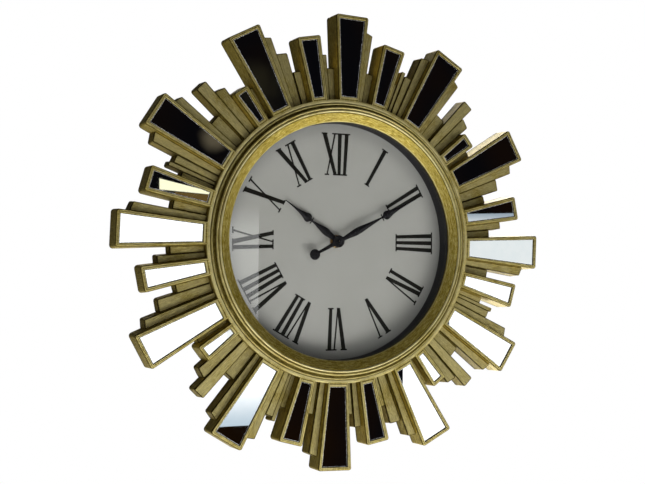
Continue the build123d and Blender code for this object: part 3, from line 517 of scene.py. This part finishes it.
def bar_rings(which, soft, tip_round):
    """Rings shared by all bars, from the back edge to the rounded front edge, and the height of each face.

    Side rings widen a little towards the back, as a moulding does to leave its mould.  The front edge is a
    quarter round: at turn t it is drawn in by soft (1 - cos t) and lies soft (1 - sin t) below the face.
    Each ring is (points, outward directions, heights, wear_and_highlight, painted_shade): rubbing with a painted
    highlight, and painted shade."""
    quads = bar_quads(which)
    face = BAR_FACE - STEP[which]
    sharp = 0.1
    root_round = np.full(len(which), sharp)
    corner = np.stack([root_round, tip_round, tip_round, root_round], -1)
    rings = []

    def ring(draw, height, wear_and_highlight, painted_shade):
        draw = np.broadcast_to(np.asarray(draw, float), (len(which),))
        radius = np.maximum(corner - draw[:, None], sharp)
        points, way = rounded(quads, edge_gaps(JOINT_GAP + draw, draw), radius)
        rings.append((points, way, np.broadcast_to(np.asarray(height, float), (len(which),)), wear_and_highlight, painted_shade))

    # the back rings carry painted shade along the bars' back edges and roots; the quarter round carries a
    # painted highlight
    ring(-0.6, BAR_BACK, 0.0, 0.9)
    ring(-1.1, BAR_BACK + 0.5, 0.0, 1.0)
    ring(-1.0, BAR_BACK + 2.2, 0.0, 0.75)
    ring(-0.95, BAR_BACK + 3.0, 0.0, 0.30)
    ring(-0.3, face - 6.0, 0.0, 0.14)
    ring(-0.1, face - 2.6, 0.0, 0.12)
    ring(0.0, face - 1.6, 0.0, 0.75)
    for t, wear_and_highlight, painted_shade in ((0, 0.0, 1.0), (22, 0.0, 1.0), (45, 0.0, 0.95), (68, 0.1, 0.65), (90, 0.25, 0.3)):
        t = np.radians(t)
        ring(soft * (1 - np.cos(t)), face - soft * (1 - np.sin(t)), wear_and_highlight, painted_shade)
    ring(soft + 0.45 * soft, face, 0.45, 0.05)
    return rings, face


def between(a, b, share):
    """Points a share of the way from ring a to ring b."""
    return a[0] + (b[0] - a[0]) * share


def shells_of_bars(which):
    """Points, faces and attributes of a set of bars that have the same rings."""
    inlaid = KIND[which[0]] > 0
    width = 2 * COLLAR_OUTER * np.sin(HALF[which])
    soft = np.clip(0.13 * width, 0.35, 0.95)
    tip_round = np.clip(0.20 * width, 0.9, 2.5)
    rings, face = bar_rings(which, soft, tip_round)
    outer = rings[-1]
    if inlaid:
        pocket = bar_quads(which, COLLAR_OUTER + 5.0)
        wall = rounded(pocket, np.full(4, 2.5), 0.6)
        floor = np.full(len(which), MIRROR_BACK - 2.5)
        back = np.full(len(which), BAR_BACK)
        rings = [(wall[0], wall[1], floor, 0.0, 0.8), (wall[0], wall[1], back, 0.2, 0.5)] + rings
        lip = rounded(mirror_quads(which, 0.75), np.zeros(4), 0.3)
        seat = rounded(mirror_quads(which, 0.22), np.zeros(4), 0.12)
        # painted shade in the groove round the mirror and down in its recess; painted highlight on the groove's
        # lip
        groove = ((0.30, 0.0, 0.25, 0.0), (0.36, 0.0, 0.1, 0.35), (0.42, 0.35, 0.0, 0.7),
                  (0.54, 0.35, 0.0, 0.7), (0.60, 0.02, 0.4, 0.2), (0.70, 0.0, 0.5, 0.0))
        for share, drop, wear_and_highlight, painted_shade in groove:
            rings.append((between(outer, lip, share), outer[1], face - drop, wear_and_highlight, painted_shade))
        below_mirror = BAR_FACE - MIRROR_BACK + 0.05
        recess = ((lip, 0.0, 0.5, 0.1), (seat, 0.62, 0.1, 0.75), (seat, 1.6, 0.0, 1.0),
                  (seat, below_mirror, 0.0, 1.0))
        for edge, drop, wear_and_highlight, painted_shade in recess:
            rings.append((edge[0], edge[1], face - drop, wear_and_highlight, painted_shade))
    points = np.stack([on_bars(which, r[0], r[2][:, None]) for r in rings], 1)
    local = np.stack([r[0] for r in rings], 1)
    way = np.stack([r[1] for r in rings], 1)
    depth = np.stack([face - r[2] for r in rings], 1)[:, :, None, None]
    laid = local + depth * way
    shape = laid.shape[:3]
    own_grain = np.broadcast_to(which[:, None, None] * GRAIN_SHIFT, shape)
    brush = np.stack([laid[..., 0] * MM, laid[..., 1] * MM * STREAK, own_grain], -1)
    wear_and_highlight = np.broadcast_to(np.array([r[3] for r in rings])[None, :, None], shape)
    # painted shade grows on the lowest bars, which sit deepest
    low = smoothstep(STEP[which], 2.0, 9.0)[:, None, None]
    painted_shade = np.array([r[4] for r in rings])[None, :, None] + LOW_BAR_SHADE * low + 0 * laid[..., 0]
    return points.reshape(-1, 3), shape, brush.reshape(-1, 3), wear_and_highlight.ravel(), painted_shade.ravel()


def lathe_attributes(profile, segments, wear_and_highlight, painted_shade):
    """Brush, wear_and_highlight and painted_shade of a turned piece: the brush runs round the turn at one
    radius, and across it goes STREAK times the way along the profile."""
    t = np.arange(segments)[:, None] * TURN / segments
    along = along_profile(profile)[None, :]
    ones = np.ones((segments, 1))
    round_x, round_y = 0.14 * np.cos(t) + 0 * along, 0.14 * np.sin(t) + 0 * along
    brush = np.stack([round_x, round_y, along * MM * STREAK * ones], -1)
    return {"brush": brush.reshape(-1, 3), "wear_and_highlight": (wear_and_highlight[None, :] * ones).ravel(),
            "painted_shade": (painted_shade[None, :] * ones).ravel()}


def sunburst_frame():
    """All 88 bars and the collar ring with its sleeve, one piece."""
    points, faces, brush, wear_and_highlight, painted_shade = [], [], [], [], []
    first = 0
    for which in (np.flatnonzero(KIND == 0), np.flatnonzero(KIND > 0)):
        p, shape, b, w, g = shells_of_bars(which)
        shell = loft_faces(shape[0], shape[1], shape[2], first)
        if signed_volume(p - p.mean(0), [[i - first for i in f] for f in shell]) < 0:
            shell = [f[::-1] for f in shell]
        points.append(p)
        faces += shell
        brush.append(b)
        wear_and_highlight.append(w)
        painted_shade.append(g)
        first += len(p)
    # collar with its rounded inner edge, the seat of the bezel and the sleeve behind it
    # each key point is radius, height, rubbing with painted highlight, and painted shade
    key = np.array([
        (130.0, -1.0, 0, .6), (130.0, 16.0, 0, .8), (146.0, 16.0, 0, 1), (146.0, 19.5, 0, 1),
        (146.25, 20.05, .2, .7), (146.7, 20.2, .7, .1), (148.5, 20.2, .5, 0), (148.9, 20.16, .5, 0),
        (149.7, 20.1, .4, 0),
        (150.0, 19.7, .3, .15), (150.0, 15.0, 0, .7), (150.0, 8.0, 0, .95), (150.0, -4.3, 0, .8),
        (149.5, -4.8, .3, .5), (146.0, -4.8, .1, .6), (146.0, 13.5, 0, .8), (133.0, 13.5, 0, .8),
        (133.0, -1.0, 0, .6)])
    profile = key[:, :2]
    segments = 360
    ring = turned_points(profile, segments)
    shell = turned_faces(segments, len(profile))
    if signed_volume(ring, shell) < 0:
        shell = [f[::-1] for f in shell]
    extra = lathe_attributes(profile, segments, key[:, 2], key[:, 3])
    faces += (np.array(shell) + first).tolist()
    made = piece("sunburst_frame", np.concatenate(points + [ring]), faces, GOLD,
                 attributes={"brush": np.concatenate(brush + [extra["brush"]]),
                             "wear_and_highlight": np.concatenate(wear_and_highlight + [extra["wear_and_highlight"]]),
                             "painted_shade": np.concatenate(painted_shade + [extra["painted_shade"]])}, outward=False)
    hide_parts("ray_frame")


# ---------------------------------------------------------------- mirrors
def bevelled_mirrors():
    """Each mirror is a plate with ground edges: rings at the back, at the top of its side, at the edge of its
    bevel with a small jitter that is the same each run, and at the inner line where the polished face begins."""
    jitter = np.random.default_rng(41)
    inlaid = np.flatnonzero(KIND > 0)
    order = inlaid[np.argsort((np.degrees(MIDDLE[inlaid]) + SPAN[inlaid] / 2) % 360)]
    per_side = 26
    share = np.arange(per_side)[:, None] / per_side
    counts = {LARGE_INLAY: 0, MEDIUM_INLAY: 0, SMALL_INLAY: 0}
    names = {LARGE_INLAY: "large_mirror", MEDIUM_INLAY: "medium_mirror", SMALL_INLAY: "small_mirror"}
    for bar in order:
        kind = KIND[bar]
        counts[kind] += 1
        node = f"{names[kind]}_{counts[kind]:02d}"
        quad = mirror_quads(np.array([bar]))

        def outline(inset, rough):
            corners = drawn_in(quad, np.full(4, inset))[0]
            sides = corners[:, None] + (np.roll(corners, -1, 0) - corners)[:, None] * share
            normal = outward(quad)[0][:, None]
            bite = jitter.uniform(-1, 0, (4, per_side, 1)) * rough
            bite[:, 0] = 0
            return (sides + normal * bite).reshape(1, -1, 2)

        rings = [(outline(0.05, 0), MIRROR_BACK), (outline(0.0, 0), MIRROR_BACK + 0.1),
                 (outline(0.0, 0), MIRROR_FACE - 0.42), (outline(0.16, 0.13), MIRROR_FACE - 0.10),
                 (outline(0.42, 0.16), MIRROR_FACE)]
        around = 4 * per_side
        points = np.concatenate([on_bars(np.array([bar]), ring, height)[0] for ring, height in rings])
        faces = loft_faces(1, len(rings), around)
        made = piece("bevelled_" + node, points, faces, MIRROR, smooth=None)
        made.data.materials.append(EDGE)
        caps = len(made.data.polygons) - 1
        index = np.ones(caps + 1, np.int32)
        index[caps] = 0
        made.data.polygons.foreach_set("material_index", index)
        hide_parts(node)


# ---------------------------------------------------------------- bezel
def stepped_bezel():
    """Turned ring: a wide brushed funnel up to a fine bead, a step, a crest, a cove and an outer roll."""
    # each key point is radius, height, rubbing with painted highlight, and painted shade: beads and crest
    # painted pale, grooves painted dark
    key = [(130.0, 16.0, 0, .8), (130.0, 18.2, 0, .8), (126.0, 18.2, 0, .7), (126.0, 19.7, .1, .55),
           (126.12, 20.05, .5, .3), (126.45, 20.35, .55, .1)]
    key += [(r, h, .05, .24) for r, h in bent_profile([(126.9, 20.55), (134.9, 24.0)], 1.1)]
    key += [(135.3, 24.05, 0, .75), (135.75, 23.95, 0, 1.0)]
    key += [(r, h, .75, .12) for r, h in arc((137.0, 24.05), 1.3, 172, 8, 11)]
    key += [(138.45, 23.75, 0, .95), (138.75, 23.75, 0, .95)]
    key += [(r, h, .4, .15) for r, h in arc((140.15, 23.75), 1.25, 175, 30, 8)]
    key += [(141.5, 23.9, 0, .6), (141.75, 23.1, 0, .95)]
    key += [(r, h, 0, .95) for r, h in arc((143.6, 22.9), 1.85, 185, 265, 7)]
    key += [(143.75, 21.15, 0, .8)]
    key += [(r, h, .35, .25) for r, h in arc((144.75, 20.75), 1.05, 155, 0, 8)]
    key += [(145.85, 20.2, 0, 1.0), (145.85, 16.0, 0, 1.0)]
    key = np.array(key)
    segments = 360
    profile = key[:, :2]
    points, faces = turned_points(profile, segments), turned_faces(segments, len(profile))
    finish = lathe_attributes(profile, segments, key[:, 2], key[:, 3])
    made = piece("stepped_bezel", points, faces, GOLD, attributes=finish)
    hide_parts("bezel_ring")


def shallow_disc(name, node, radius, back, front, material, soft=0.3):
    """Round plate with softened edges: rings of one circle at the back, side and front."""
    t = np.arange(180) * TURN / 180
    rings = [(radius - soft, back), (radius, back + soft), (radius, front - soft), (radius - soft, front)]
    points = np.concatenate([in_frame(r * np.sin(t), r * np.cos(t), h) for r, h in rings])
    made = piece(name, points, loft_faces(1, len(rings), len(t)), material)
    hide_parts(node)


# ---------------------------------------------------------------- numerals
THICK, THIN, SERIF = 4.6, 2.0, 1.55
INNER, OUTER = 71.2, 116.8
PRINT = 0.07
NARROWED, WIDENING = 0.78, 0.22


def numeral_strokes(text):
    """Strokes of a Roman numeral as (x at the foot, x at the head, width, foot, head) with foot 0 and head 1.

    I is one thick stroke, X crosses a thick stroke from head left to foot right with a thin one, and V joins
    a thick and a thin stroke at its foot.  Serifs close every free end."""
    pitch = {"I": 8.1, "V": 14.4, "X": 15.6}
    total = sum(pitch[c] for c in text)
    x = -total / 2
    strokes = []
    for c in text:
        middle = x + pitch[c] / 2
        if c == "I":
            strokes += [(middle, middle, THICK, 0, 1), (middle, middle, 8.4, 0, "serif"),
                        (middle, middle, 8.4, 1, "serif")]
        if c == "X":
            arm = 6.2
            strokes += [(middle + arm, middle - arm, THICK + 0.5, 0, 1),
                        (middle - arm, middle + arm, THIN, 0, 1)]
            for end in (0, 1):
                strokes += [(middle - arm, middle - arm, 6.9, end, "serif"),
                            (middle + arm, middle + arm, 6.9, end, "serif")]
        if c == "V":
            arm = 5.6
            strokes += [(middle, middle - arm, THICK + 0.3, 0, 1), (middle + 0.9, middle + arm, THIN, 0, 1)]
            strokes += [(middle - arm, middle - arm, 7.6, 1, "serif"),
                        (middle + arm, middle + arm, 5.8, 1, "serif")]
        x += pitch[c]
    return strokes


def printed_numerals():
    """Low prisms for all strokes of the twelve numerals: a stroke is a quad between the inner and the outer
    line, with its widths scaled from NARROWED at the inner end to 1 at the outer end."""
    texts = ["XII", "I", "II", "III", "IV", "V", "VI", "VII", "VIII", "IX", "X", "XI"]
    quads, turns = [], []
    for hour, text in enumerate(texts):
        for foot, head, width, a, b in numeral_strokes(text):
            if b == "serif":
                low, high = (INNER, INNER + SERIF) if a == 0 else (OUTER - SERIF, OUTER)
            else:
                low, high = INNER, OUTER
            quads.append([(foot, low, width), (head, high, width)])
            turns.append(np.radians(30 * hour))
    quads, turns = np.array(quads), np.array(turns)[:, None, None]
    scale = NARROWED + WIDENING * (quads[..., 1] - INNER) / (OUTER - INNER)
    side = np.array([-0.5, 0.5])[None, None, :]
    x = (quads[..., 0, None] + side * quads[..., 2, None]) * scale[..., None]
    r = quads[..., 1, None] + 0 * x
    corner = np.stack([x, r], -1).reshape(len(quads), 4, 2)[:, [0, 1, 3, 2]]
    across, up = corner[..., 0], corner[..., 1]
    turns = turns[:, :, 0]
    px = up * np.sin(turns) + across * np.cos(turns)
    pz = up * np.cos(turns) - across * np.sin(turns)
    heights = np.array([DIAL_FACE, DIAL_FACE + PRINT])[None, :, None]
    points = in_frame(px[:, None] + 0 * heights, pz[:, None] + 0 * heights, heights + 0 * px[:, None])
    faces = loft_faces(len(quads), 2, 4)
    piece("printed_numerals", points.reshape(-1, 3), faces, INK, smooth=None)


# ---------------------------------------------------------------- hands
def through(stations, at):
    """Smooth half-width through (place, half-width) stations: cubic pieces, slopes from the neighbours."""
    x, y = np.array(stations).T
    slope = np.gradient(y, x)
    i = np.clip(np.searchsorted(x, at, side="right") - 1, 0, len(x) - 2)
    h = x[i + 1] - x[i]
    t = (at - x[i]) / h
    return ((2 * t**3 - 3 * t**2 + 1) * y[i] + (t**3 - 2 * t**2 + t) * h * slope[i]
            + (-2 * t**3 + 3 * t**2) * y[i + 1] + (t**3 - t**2) * h * slope[i + 1])


def ridged_blade(places, half, back, edge, ridge):
    """Closed blade along local +Y: across it the height is edge + ridge (1 - |s|), s from -1 to 1, over a
    flat back, and less where the blade is narrow.  Each cross section is a ring of nine points."""
    s = np.array([-1.0, -1.0, -0.5, -0.08, 0.0, 0.08, 0.5, 1.0, 1.0])
    lift = np.array([0.0, 1.0, 1.0, 1.0, 1.0, 1.0, 1.0, 1.0, 0.0])
    top = back + lift * (edge + ridge * (1 - np.abs(s)))
    across = half[:, None] * s[None, :]
    up = places[:, None] + 0 * across
    scale = np.clip(half / half.max(), 0.35, 1)[:, None]
    height = back + (top - back)[None, :] * (0.4 + 0.6 * scale)
    return np.stack([across, up, height], -1)[None]


def disc_rings(centre, rings, count=40):
    """Stacked circles (radius, height) about a centre on local +Y."""
    t = np.arange(count) * TURN / count
    circles = [np.stack([r * np.sin(t), centre + r * np.cos(t), h + 0 * t], -1) for r, h in rings]
    return np.stack(circles)[None]


def clock_hand(name, node, body, angle, parts):
    """Hand from lofted parts in local (across, along, height), turned to its clock angle."""
    turn = np.radians(angle)
    points, faces, first = [], [], 0
    for part in parts:
        shells, rings, around, _ = part.shape
        shell = loft_faces(shells, rings, around)
        flat = part.reshape(-1, 3)
        if signed_volume(in_frame(flat[:, 0], flat[:, 1], flat[:, 2]), shell) < 0:
            shell = [f[::-1] for f in shell]
        faces += [[i + first for i in f] for f in shell]
        points.append(flat)
        first += len(flat)
    local = np.concatenate(points)
    x = local[:, 0] * np.cos(turn) + local[:, 1] * np.sin(turn)
    z = -local[:, 0] * np.sin(turn) + local[:, 1] * np.cos(turn)
    made = piece(name, in_frame(x, z, local[:, 2]), faces, HAND, body, smooth=30.0,
                 outward=False)
    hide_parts(node)


def two_hands():
    """Both hands and their nut: a leaf, a tick, a drop that runs out into a needle, and a closed hub.  The
    minute hand has a tail with a disc as well."""
    back = MINUTE_HAND_BACK
    leaf = [(4.0, 1.9), (13.0, 2.8), (24.0, 3.9), (38.0, 2.6), (57.5, 0.85), (59.2, 0.7)]
    drop = [(58.6, 0.7), (59.6, 2.2), (61.2, 4.1), (64.0, 4.9), (69.0, 3.5), (78.0, 1.8), (88.0, 1.05),
            (104.7, 0.4)]
    tail = [(-27.0, 1.4), (-18.0, 1.8), (-4.0, 2.2)]
    hub = [(6.1, back), (6.5, back + 0.15), (6.5, back + 0.4), (5.9, back + 0.62), (4.4, back + 0.7),
           (4.1, back + 0.55), (3.2, back + 0.55)]
    spot = [(5.5, back), (5.8, back + 0.15), (5.8, back + 0.42), (5.3, back + 0.62), (3.4, back + 0.72)]
    ranged = lambda table, n: np.linspace(table[0][0], table[-1][0], n)
    blade = lambda table, n, low: ridged_blade(
        ranged(table, n), through(table, ranged(table, n)), low, 0.18, 0.42)
    tick = lambda place, low: ridged_blade(np.array([place - 0.6, place - 0.45, place + 0.45, place + 0.6]),
                                           np.array([3.6, 3.9, 3.9, 3.6]), low, 0.3, 0.1)
    clock_hand("minute_hand_ridged", "minute_hand", "minute_hand_body", MINUTE_ANGLE, [
        blade(leaf, 34, back), blade(drop, 44, back), blade(tail, 12, back), tick(58.1, back),
        disc_rings(0.0, hub), disc_rings(-31.0, spot)])
    back = HOUR_HAND_BACK
    leaf = [(4.0, 2.0), (10.0, 3.0), (17.5, 4.1), (27.0, 2.5), (36.7, 0.85), (38.4, 0.7)]
    drop = [(37.8, 0.7), (38.8, 2.2), (40.4, 4.1), (43.0, 4.9), (47.5, 3.4), (55.0, 1.7), (62.0, 1.0),
            (73.8, 0.4)]
    hub = [(6.1, back), (6.5, back + 0.15), (6.5, back + 0.4), (6.1, back + 0.55), (3.0, back + 0.55)]
    clock_hand("hour_hand_ridged", "hour_hand", "hour_hand_body", HOUR_ANGLE, [
        blade(leaf, 26, back), blade(drop, 34, back), tick(37.3, back), disc_rings(0.0, hub)])
    # domed nut with a small dimple on the minute arbor
    t0 = MINUTE_HAND_BACK + 0.5
    rings = [(2.6, t0), (2.6, t0 + 0.9), (2.45, t0 + 1.25), (2.1, t0 + 1.5), (1.7, t0 + 1.6),
             (1.25, t0 + 1.58), (1.0, t0 + 1.3), (0.6, t0 + 1.2)]
    nut = disc_rings(0.0, rings, 36)[0]
    made = piece("domed_cap_nut", in_frame(nut[..., 0], nut[..., 1], nut[..., 2]).reshape(-1, 3),
                 loft_faces(1, len(rings), 36), HAND, "minute_hand_body")
    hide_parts("cap_nut")


sunburst_frame()
bevelled_mirrors()
stepped_bezel()
shallow_disc("flat_glass", "glass_lens", 129.8, GLASS_BACK, GLASS_FRONT, GLASS, 0.2)
printed_numerals()
two_hands()

# ---------------------------------------------------------------- finishes of the parts that keep their shape
cell_low, cell_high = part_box("battery")
BUTTON = 0.0013
CELL = cell_wrap(cell_high.x - BUTTON, cell_low.x)
KEPT = {
    "spacer_ring": SPACER, "case_drum": DRUM, "dial_plate": DIAL, "backing_board": BOARD,
    "case_screws": STEEL, "hanger_screws": STEEL, "hanger_plate": STEEL, "battery_plus_contact": STEEL,
    "battery_minus_contact": STEEL, "stator_plate": STEEL, "quartz_crystal": STEEL,
    "movement_front_case": CASE, "movement_rear_case": CASE, "setting_knob": CASE,
    "hex_nut": BRASS, "brass_washer": BRASS, "minute_arbor": BRASS, "battery": CELL, "coil": COPPER,
    "rotor": MAGNET, "circuit_board": CIRCUIT, "rubber_washer": RUBBER, "minute_wheel": WHITE_GEAR,
    "second_wheel": WHITE_GEAR, "third_wheel": WHITE_GEAR, "centre_wheel": WHITE_GEAR,
    "intermediate_wheel": WHITE_GEAR, "hour_wheel": WHITE_GEAR,
}
for name, material in KEPT.items():
    mesh = nodes_of_frame[name].data
    mesh.materials.clear()
    mesh.materials.append(material)

# ---------------------------------------------------------------- camera
AIM = Vector((0.0, 0.0298, 0.0))
AZIMUTH, ELEVATION, ROLL = np.radians([-22.721, -1.652, 0.365]).tolist()
DISTANCE = 1.1305
back = Vector((np.sin(AZIMUTH) * np.cos(ELEVATION), -np.cos(AZIMUTH) * np.cos(ELEVATION), np.sin(ELEVATION)))
level = Vector((0, 0, 1)).cross(back).normalized()
upright = back.cross(level)
right = level * float(np.cos(ROLL)) + upright * float(np.sin(ROLL))
up = upright * float(np.cos(ROLL)) - level * float(np.sin(ROLL))
eye = AIM + DISTANCE * back
lens = bpy.data.cameras.new("camera")
lens.lens = 57.35
lens.sensor_width = 36.0
lens.shift_x = -0.0050
lens.shift_y = 0.0003
camera = bpy.data.objects.new("camera", lens)
camera.matrix_world = Matrix((
    (right.x, up.x, back.x, eye.x),
    (right.y, up.y, back.y, eye.y),
    (right.z, up.z, back.z, eye.z),
    (0, 0, 0, 1)))
bpy.context.scene.collection.objects.link(camera)
bpy.context.scene.camera = camera


# ---------------------------------------------------------------- cards seen in the mirrors, and light
CARD_DEPTH = -2.0
ROOM_DEPTH = -2.4
WHITE = (1.0, 1.0, 1.0, 1)
BLACK_TONE = (0, 0, 0, 1)
# place in the mirrors' plane in millimetres, reach on the card in metres, and colour
SMUDGES = (
    (-141, 101, 0.045, (0.095, 0.078, 0.050, 1)),
    (-94, 158, 0.085, (0.014, 0.012, 0.007, 1)),
)


def seen_in_mirrors(x, z, depth):
    """Where on the plane Y = depth the eye looks, through the mirrors, at the mirrors' point (x, z)."""
    mirror_y = -MIRROR_FACE * MM
    reach = 1 + (mirror_y - depth) / (mirror_y - eye.y)
    return eye.x + (x - eye.x) * reach, eye.z + (z - eye.z) * reach


def card(name, corners, colour, strength=1.0, tint=None):
    """Card that shines but isn't seen directly by the camera; tint makes its colour from its finish."""
    mesh = bpy.data.meshes.new(name)
    mesh.from_pydata(corners, [], [(0, 1, 2, 3)])
    made = bpy.data.objects.new(name, mesh)
    bpy.context.scene.collection.objects.link(made)
    f = Finish(name, Roughness=1.0, Base_Color=BLACK_TONE, Emission_Color=colour,
               Emission_Strength=strength)
    f.shader.inputs["Specular IOR Level"].default_value = 0.0
    if tint:
        f.set(Emission_Color=tint(f))
    mesh.materials.append(f.material)
    made.visible_camera = False


def mirror_card(name, corners, colour, strength=1.0, tint=None):
    """Card behind the camera that fills a window of the mirrors' plane, corners (x, z) in millimetres."""
    placed = [seen_in_mirrors(x * MM, z * MM, CARD_DEPTH) for x, z in corners]
    card(name, [(x, CARD_DEPTH, z) for x, z in placed], colour, strength, tint)


def window(x0, x1, z0, z1):
    """Corners of an upright rectangle."""
    return [(x0, z0), (x1, z0), (x1, z1), (x0, z1)]


def steps_in(f, axis, colours):
    """Colours along an axis of a card: each (low, high, colour) takes over smoothly between two places."""
    parts = f.node("ShaderNodeSeparateXYZ")
    f.link(f.place(), parts.inputs[0])
    place = lambda p: seen_in_mirrors(p * MM, p * MM, CARD_DEPTH)[0 if axis == "X" else 1]
    value = colours[0]
    for low, high, colour in colours[1:]:
        value = f.blend(f.spread(parts.outputs[axis], place(low), place(high)), value, colour)
    return value


def dark_room(f):
    """Brown and navy blacks with two faint pale smudges, where the roots of two mirrors look."""
    cloud = f.noise(f.place(), 0.9, 3.0)
    colour = f.blend(f.spread(cloud, 0.42, 0.58), (0.0085, 0.0036, 0.0008, 1), (0.0022, 0.0022, 0.0030, 1))
    ragged = f.noise(f.place(), 5.0, 3.0)
    for x, z, reach, glow in SMUDGES:
        spot = seen_in_mirrors(x * MM, z * MM, ROOM_DEPTH)
        away = f.node("ShaderNodeVectorMath", operation="DISTANCE")
        f.link(f.place(), away.inputs[0])
        away.inputs[1].default_value = (spot[0], ROOM_DEPTH, spot[1])
        edge = f.spread(ragged, 0.3, 0.7, -0.3 * reach, 0.3 * reach)
        near = f.math("ADD", away.outputs["Value"], edge)
        colour = f.blend(f.spread(near, 0.1 * reach, 1.35 * reach, 1.0, 0.0), colour, glow)
    return colour


def foot_in_grey(f):
    """White that turns grey towards the card's foot."""
    return steps_in(f, "Z", [(0.42, 0.50, 0.56, 1), (-190, -140, WHITE)])


def top_in_black(f):
    """White that fades out towards the card's top."""
    return steps_in(f, "Z", [WHITE, (2, 40, BLACK_TONE)])


def top_in_two_greys(f):
    """White that turns pale grey and then dark grey towards the card's top."""
    return steps_in(f, "Z", [WHITE, (-38, -18, (0.64, 0.67, 0.67, 1)), (18, 35, (0.26, 0.31, 0.36, 1))])


def area_light(name, place, target, width, height, power, mirrored=False):
    """Soft rectangular light turned from its place to its target, shown in gloss only where mirrored."""
    light = bpy.data.lights.new(name, "AREA")
    light.shape = "RECTANGLE"
    light.size, light.size_y = width, height
    light.energy = power
    made = bpy.data.objects.new(name, light)
    made.location = place
    made.rotation_euler = (Vector(target) - Vector(place)).to_track_quat("-Z", "Y").to_euler()
    made.visible_camera = False
    made.visible_glossy = mirrored
    bpy.context.scene.collection.objects.link(made)


card("dark_room", [(-1.6, ROOM_DEPTH, -1.25), (3.0, ROOM_DEPTH, -1.25), (3.0, ROOM_DEPTH, 2.6),
                   (-1.6, ROOM_DEPTH, 2.6)], WHITE, 1.0, dark_room)
mirror_card("left_card", window(-262, -128, -188.5, 30), WHITE, 1.35, foot_in_grey)
mirror_card("low_left_card", window(-128, -74, -188.5, -106), WHITE, 1.35, foot_in_grey)
mirror_card("glass_band_card", window(-128, -94, -104, 42), WHITE, 1.0, top_in_black)
mirror_card("right_card", [(128, -110), (262, -110), (262, 37.5), (128, 32)], WHITE, 1.3, top_in_two_greys)
mirror_card("low_right_card", window(71, 262, -235, -110), WHITE, 1.35)
mirror_card("yellow_card", [(-198, 47.5), (-145, 44.2), (-145.8, 47.2), (-198.2, 58.3)],
            (1.0, 0.96, 0.66, 1), 1.15)
mirror_card("brown_card", [(-190, 33.0), (-140, 33.0), (-140, 43.6), (-182, 45.6)],
            (0.12, 0.075, 0.022, 1), 1.0)
card("right_side_card", [(2.3, 0.1, -0.9), (2.3, 1.6, -0.9), (2.3, 1.6, 0.9), (2.3, 0.1, 0.9)], WHITE, 0.9)
area_light("low_front_light", (0.45, -1.05, -1.2), (0.0, 0.0, -0.05), 1.3, 0.8, 27.0)
area_light("front_left_light", (-0.9, -1.8, -0.45), (0, 0, 0), 1.1, 1.3, 18.0)
area_light("front_top_light", (0.3, -1.9, 0.9), (0, 0, 0.1), 0.8, 0.8, 7.0)
area_light("rear_light", (1.4, 2.2, 0.9), (0, 0, 0), 2.0, 2.0, 75.0, mirrored=True)
area_light("rear_low_light", (1.2, 2.0, -1.3), (0, 0, 0), 1.2, 0.8, 14.0, mirrored=True)



def studio_world(low_front=(0.20, -0.50, -0.84), low_front_strength=5.0, room_strength=(0.04, 0.07)):
    """Dim room, a little brighter behind the clock, with a soft bright patch low in front that grows with
    the dot product of the way and low_front.  The camera itself sees white."""
    world = bpy.data.worlds.new("studio")
    bpy.context.scene.world = world
    world.use_nodes = True
    tree = world.node_tree
    tree.nodes.clear()
    new, join = tree.nodes.new, tree.links.new

    def carried(value, low, high, to_low, to_high):
        made = new("ShaderNodeMapRange")
        for key, number in (("From Min", low), ("From Max", high), ("To Min", to_low), ("To Max", to_high)):
            made.inputs[key].default_value = number
        join(value, made.inputs["Value"])
        return made.outputs["Result"]

    way = new("ShaderNodeTexCoord").outputs["Generated"]
    split = new("ShaderNodeSeparateXYZ")
    join(way, split.inputs[0])
    facing = new("ShaderNodeVectorMath")
    facing.operation = "DOT_PRODUCT"
    facing.inputs[1].default_value = low_front
    join(way, facing.inputs[0])
    room = new("ShaderNodeMath")
    room.operation = "ADD"
    join(carried(split.outputs["Y"], -0.15, 0.55, *room_strength), room.inputs[0])
    join(carried(facing.outputs["Value"], 0.40, 0.95, 0.0, low_front_strength), room.inputs[1])
    ambient = new("ShaderNodeBackground")
    join(room.outputs[0], ambient.inputs["Strength"])
    white = new("ShaderNodeBackground")
    white.inputs["Color"].default_value = grey(1.0)
    chosen = new("ShaderNodeMixShader")
    join(new("ShaderNodeLightPath").outputs["Is Camera Ray"], chosen.inputs[0])
    join(ambient.outputs[0], chosen.inputs[1])
    join(white.outputs[0], chosen.inputs[2])
    join(chosen.outputs[0], new("ShaderNodeOutputWorld").inputs["Surface"])


def pale_floor(left=-6, right=6, front=-1.5, rear=4.5, level=-1.6):
    """Flat rectangle of pale paper below the clock."""
    mesh = bpy.data.meshes.new("floor")
    corners = [(left, front, level), (right, front, level), (right, rear, level), (left, rear, level)]
    mesh.from_pydata(corners, [], [(0, 1, 2, 3)])
    floor = bpy.data.objects.new("floor", mesh)
    bpy.context.scene.collection.objects.link(floor)
    paper = Finish("white_paper", Roughness=0.9)
    pale = paper.noise(paper.place(), 3.0, 3.0)
    paper.set(Base_Color=paper.blend(pale, (0.86, 0.86, 0.86, 1), (0.9, 0.9, 0.9, 1)),
              Emission_Color=grey(1.0), Emission_Strength=0.35)
    mesh.materials.append(paper.material)


studio_world()
pale_floor()
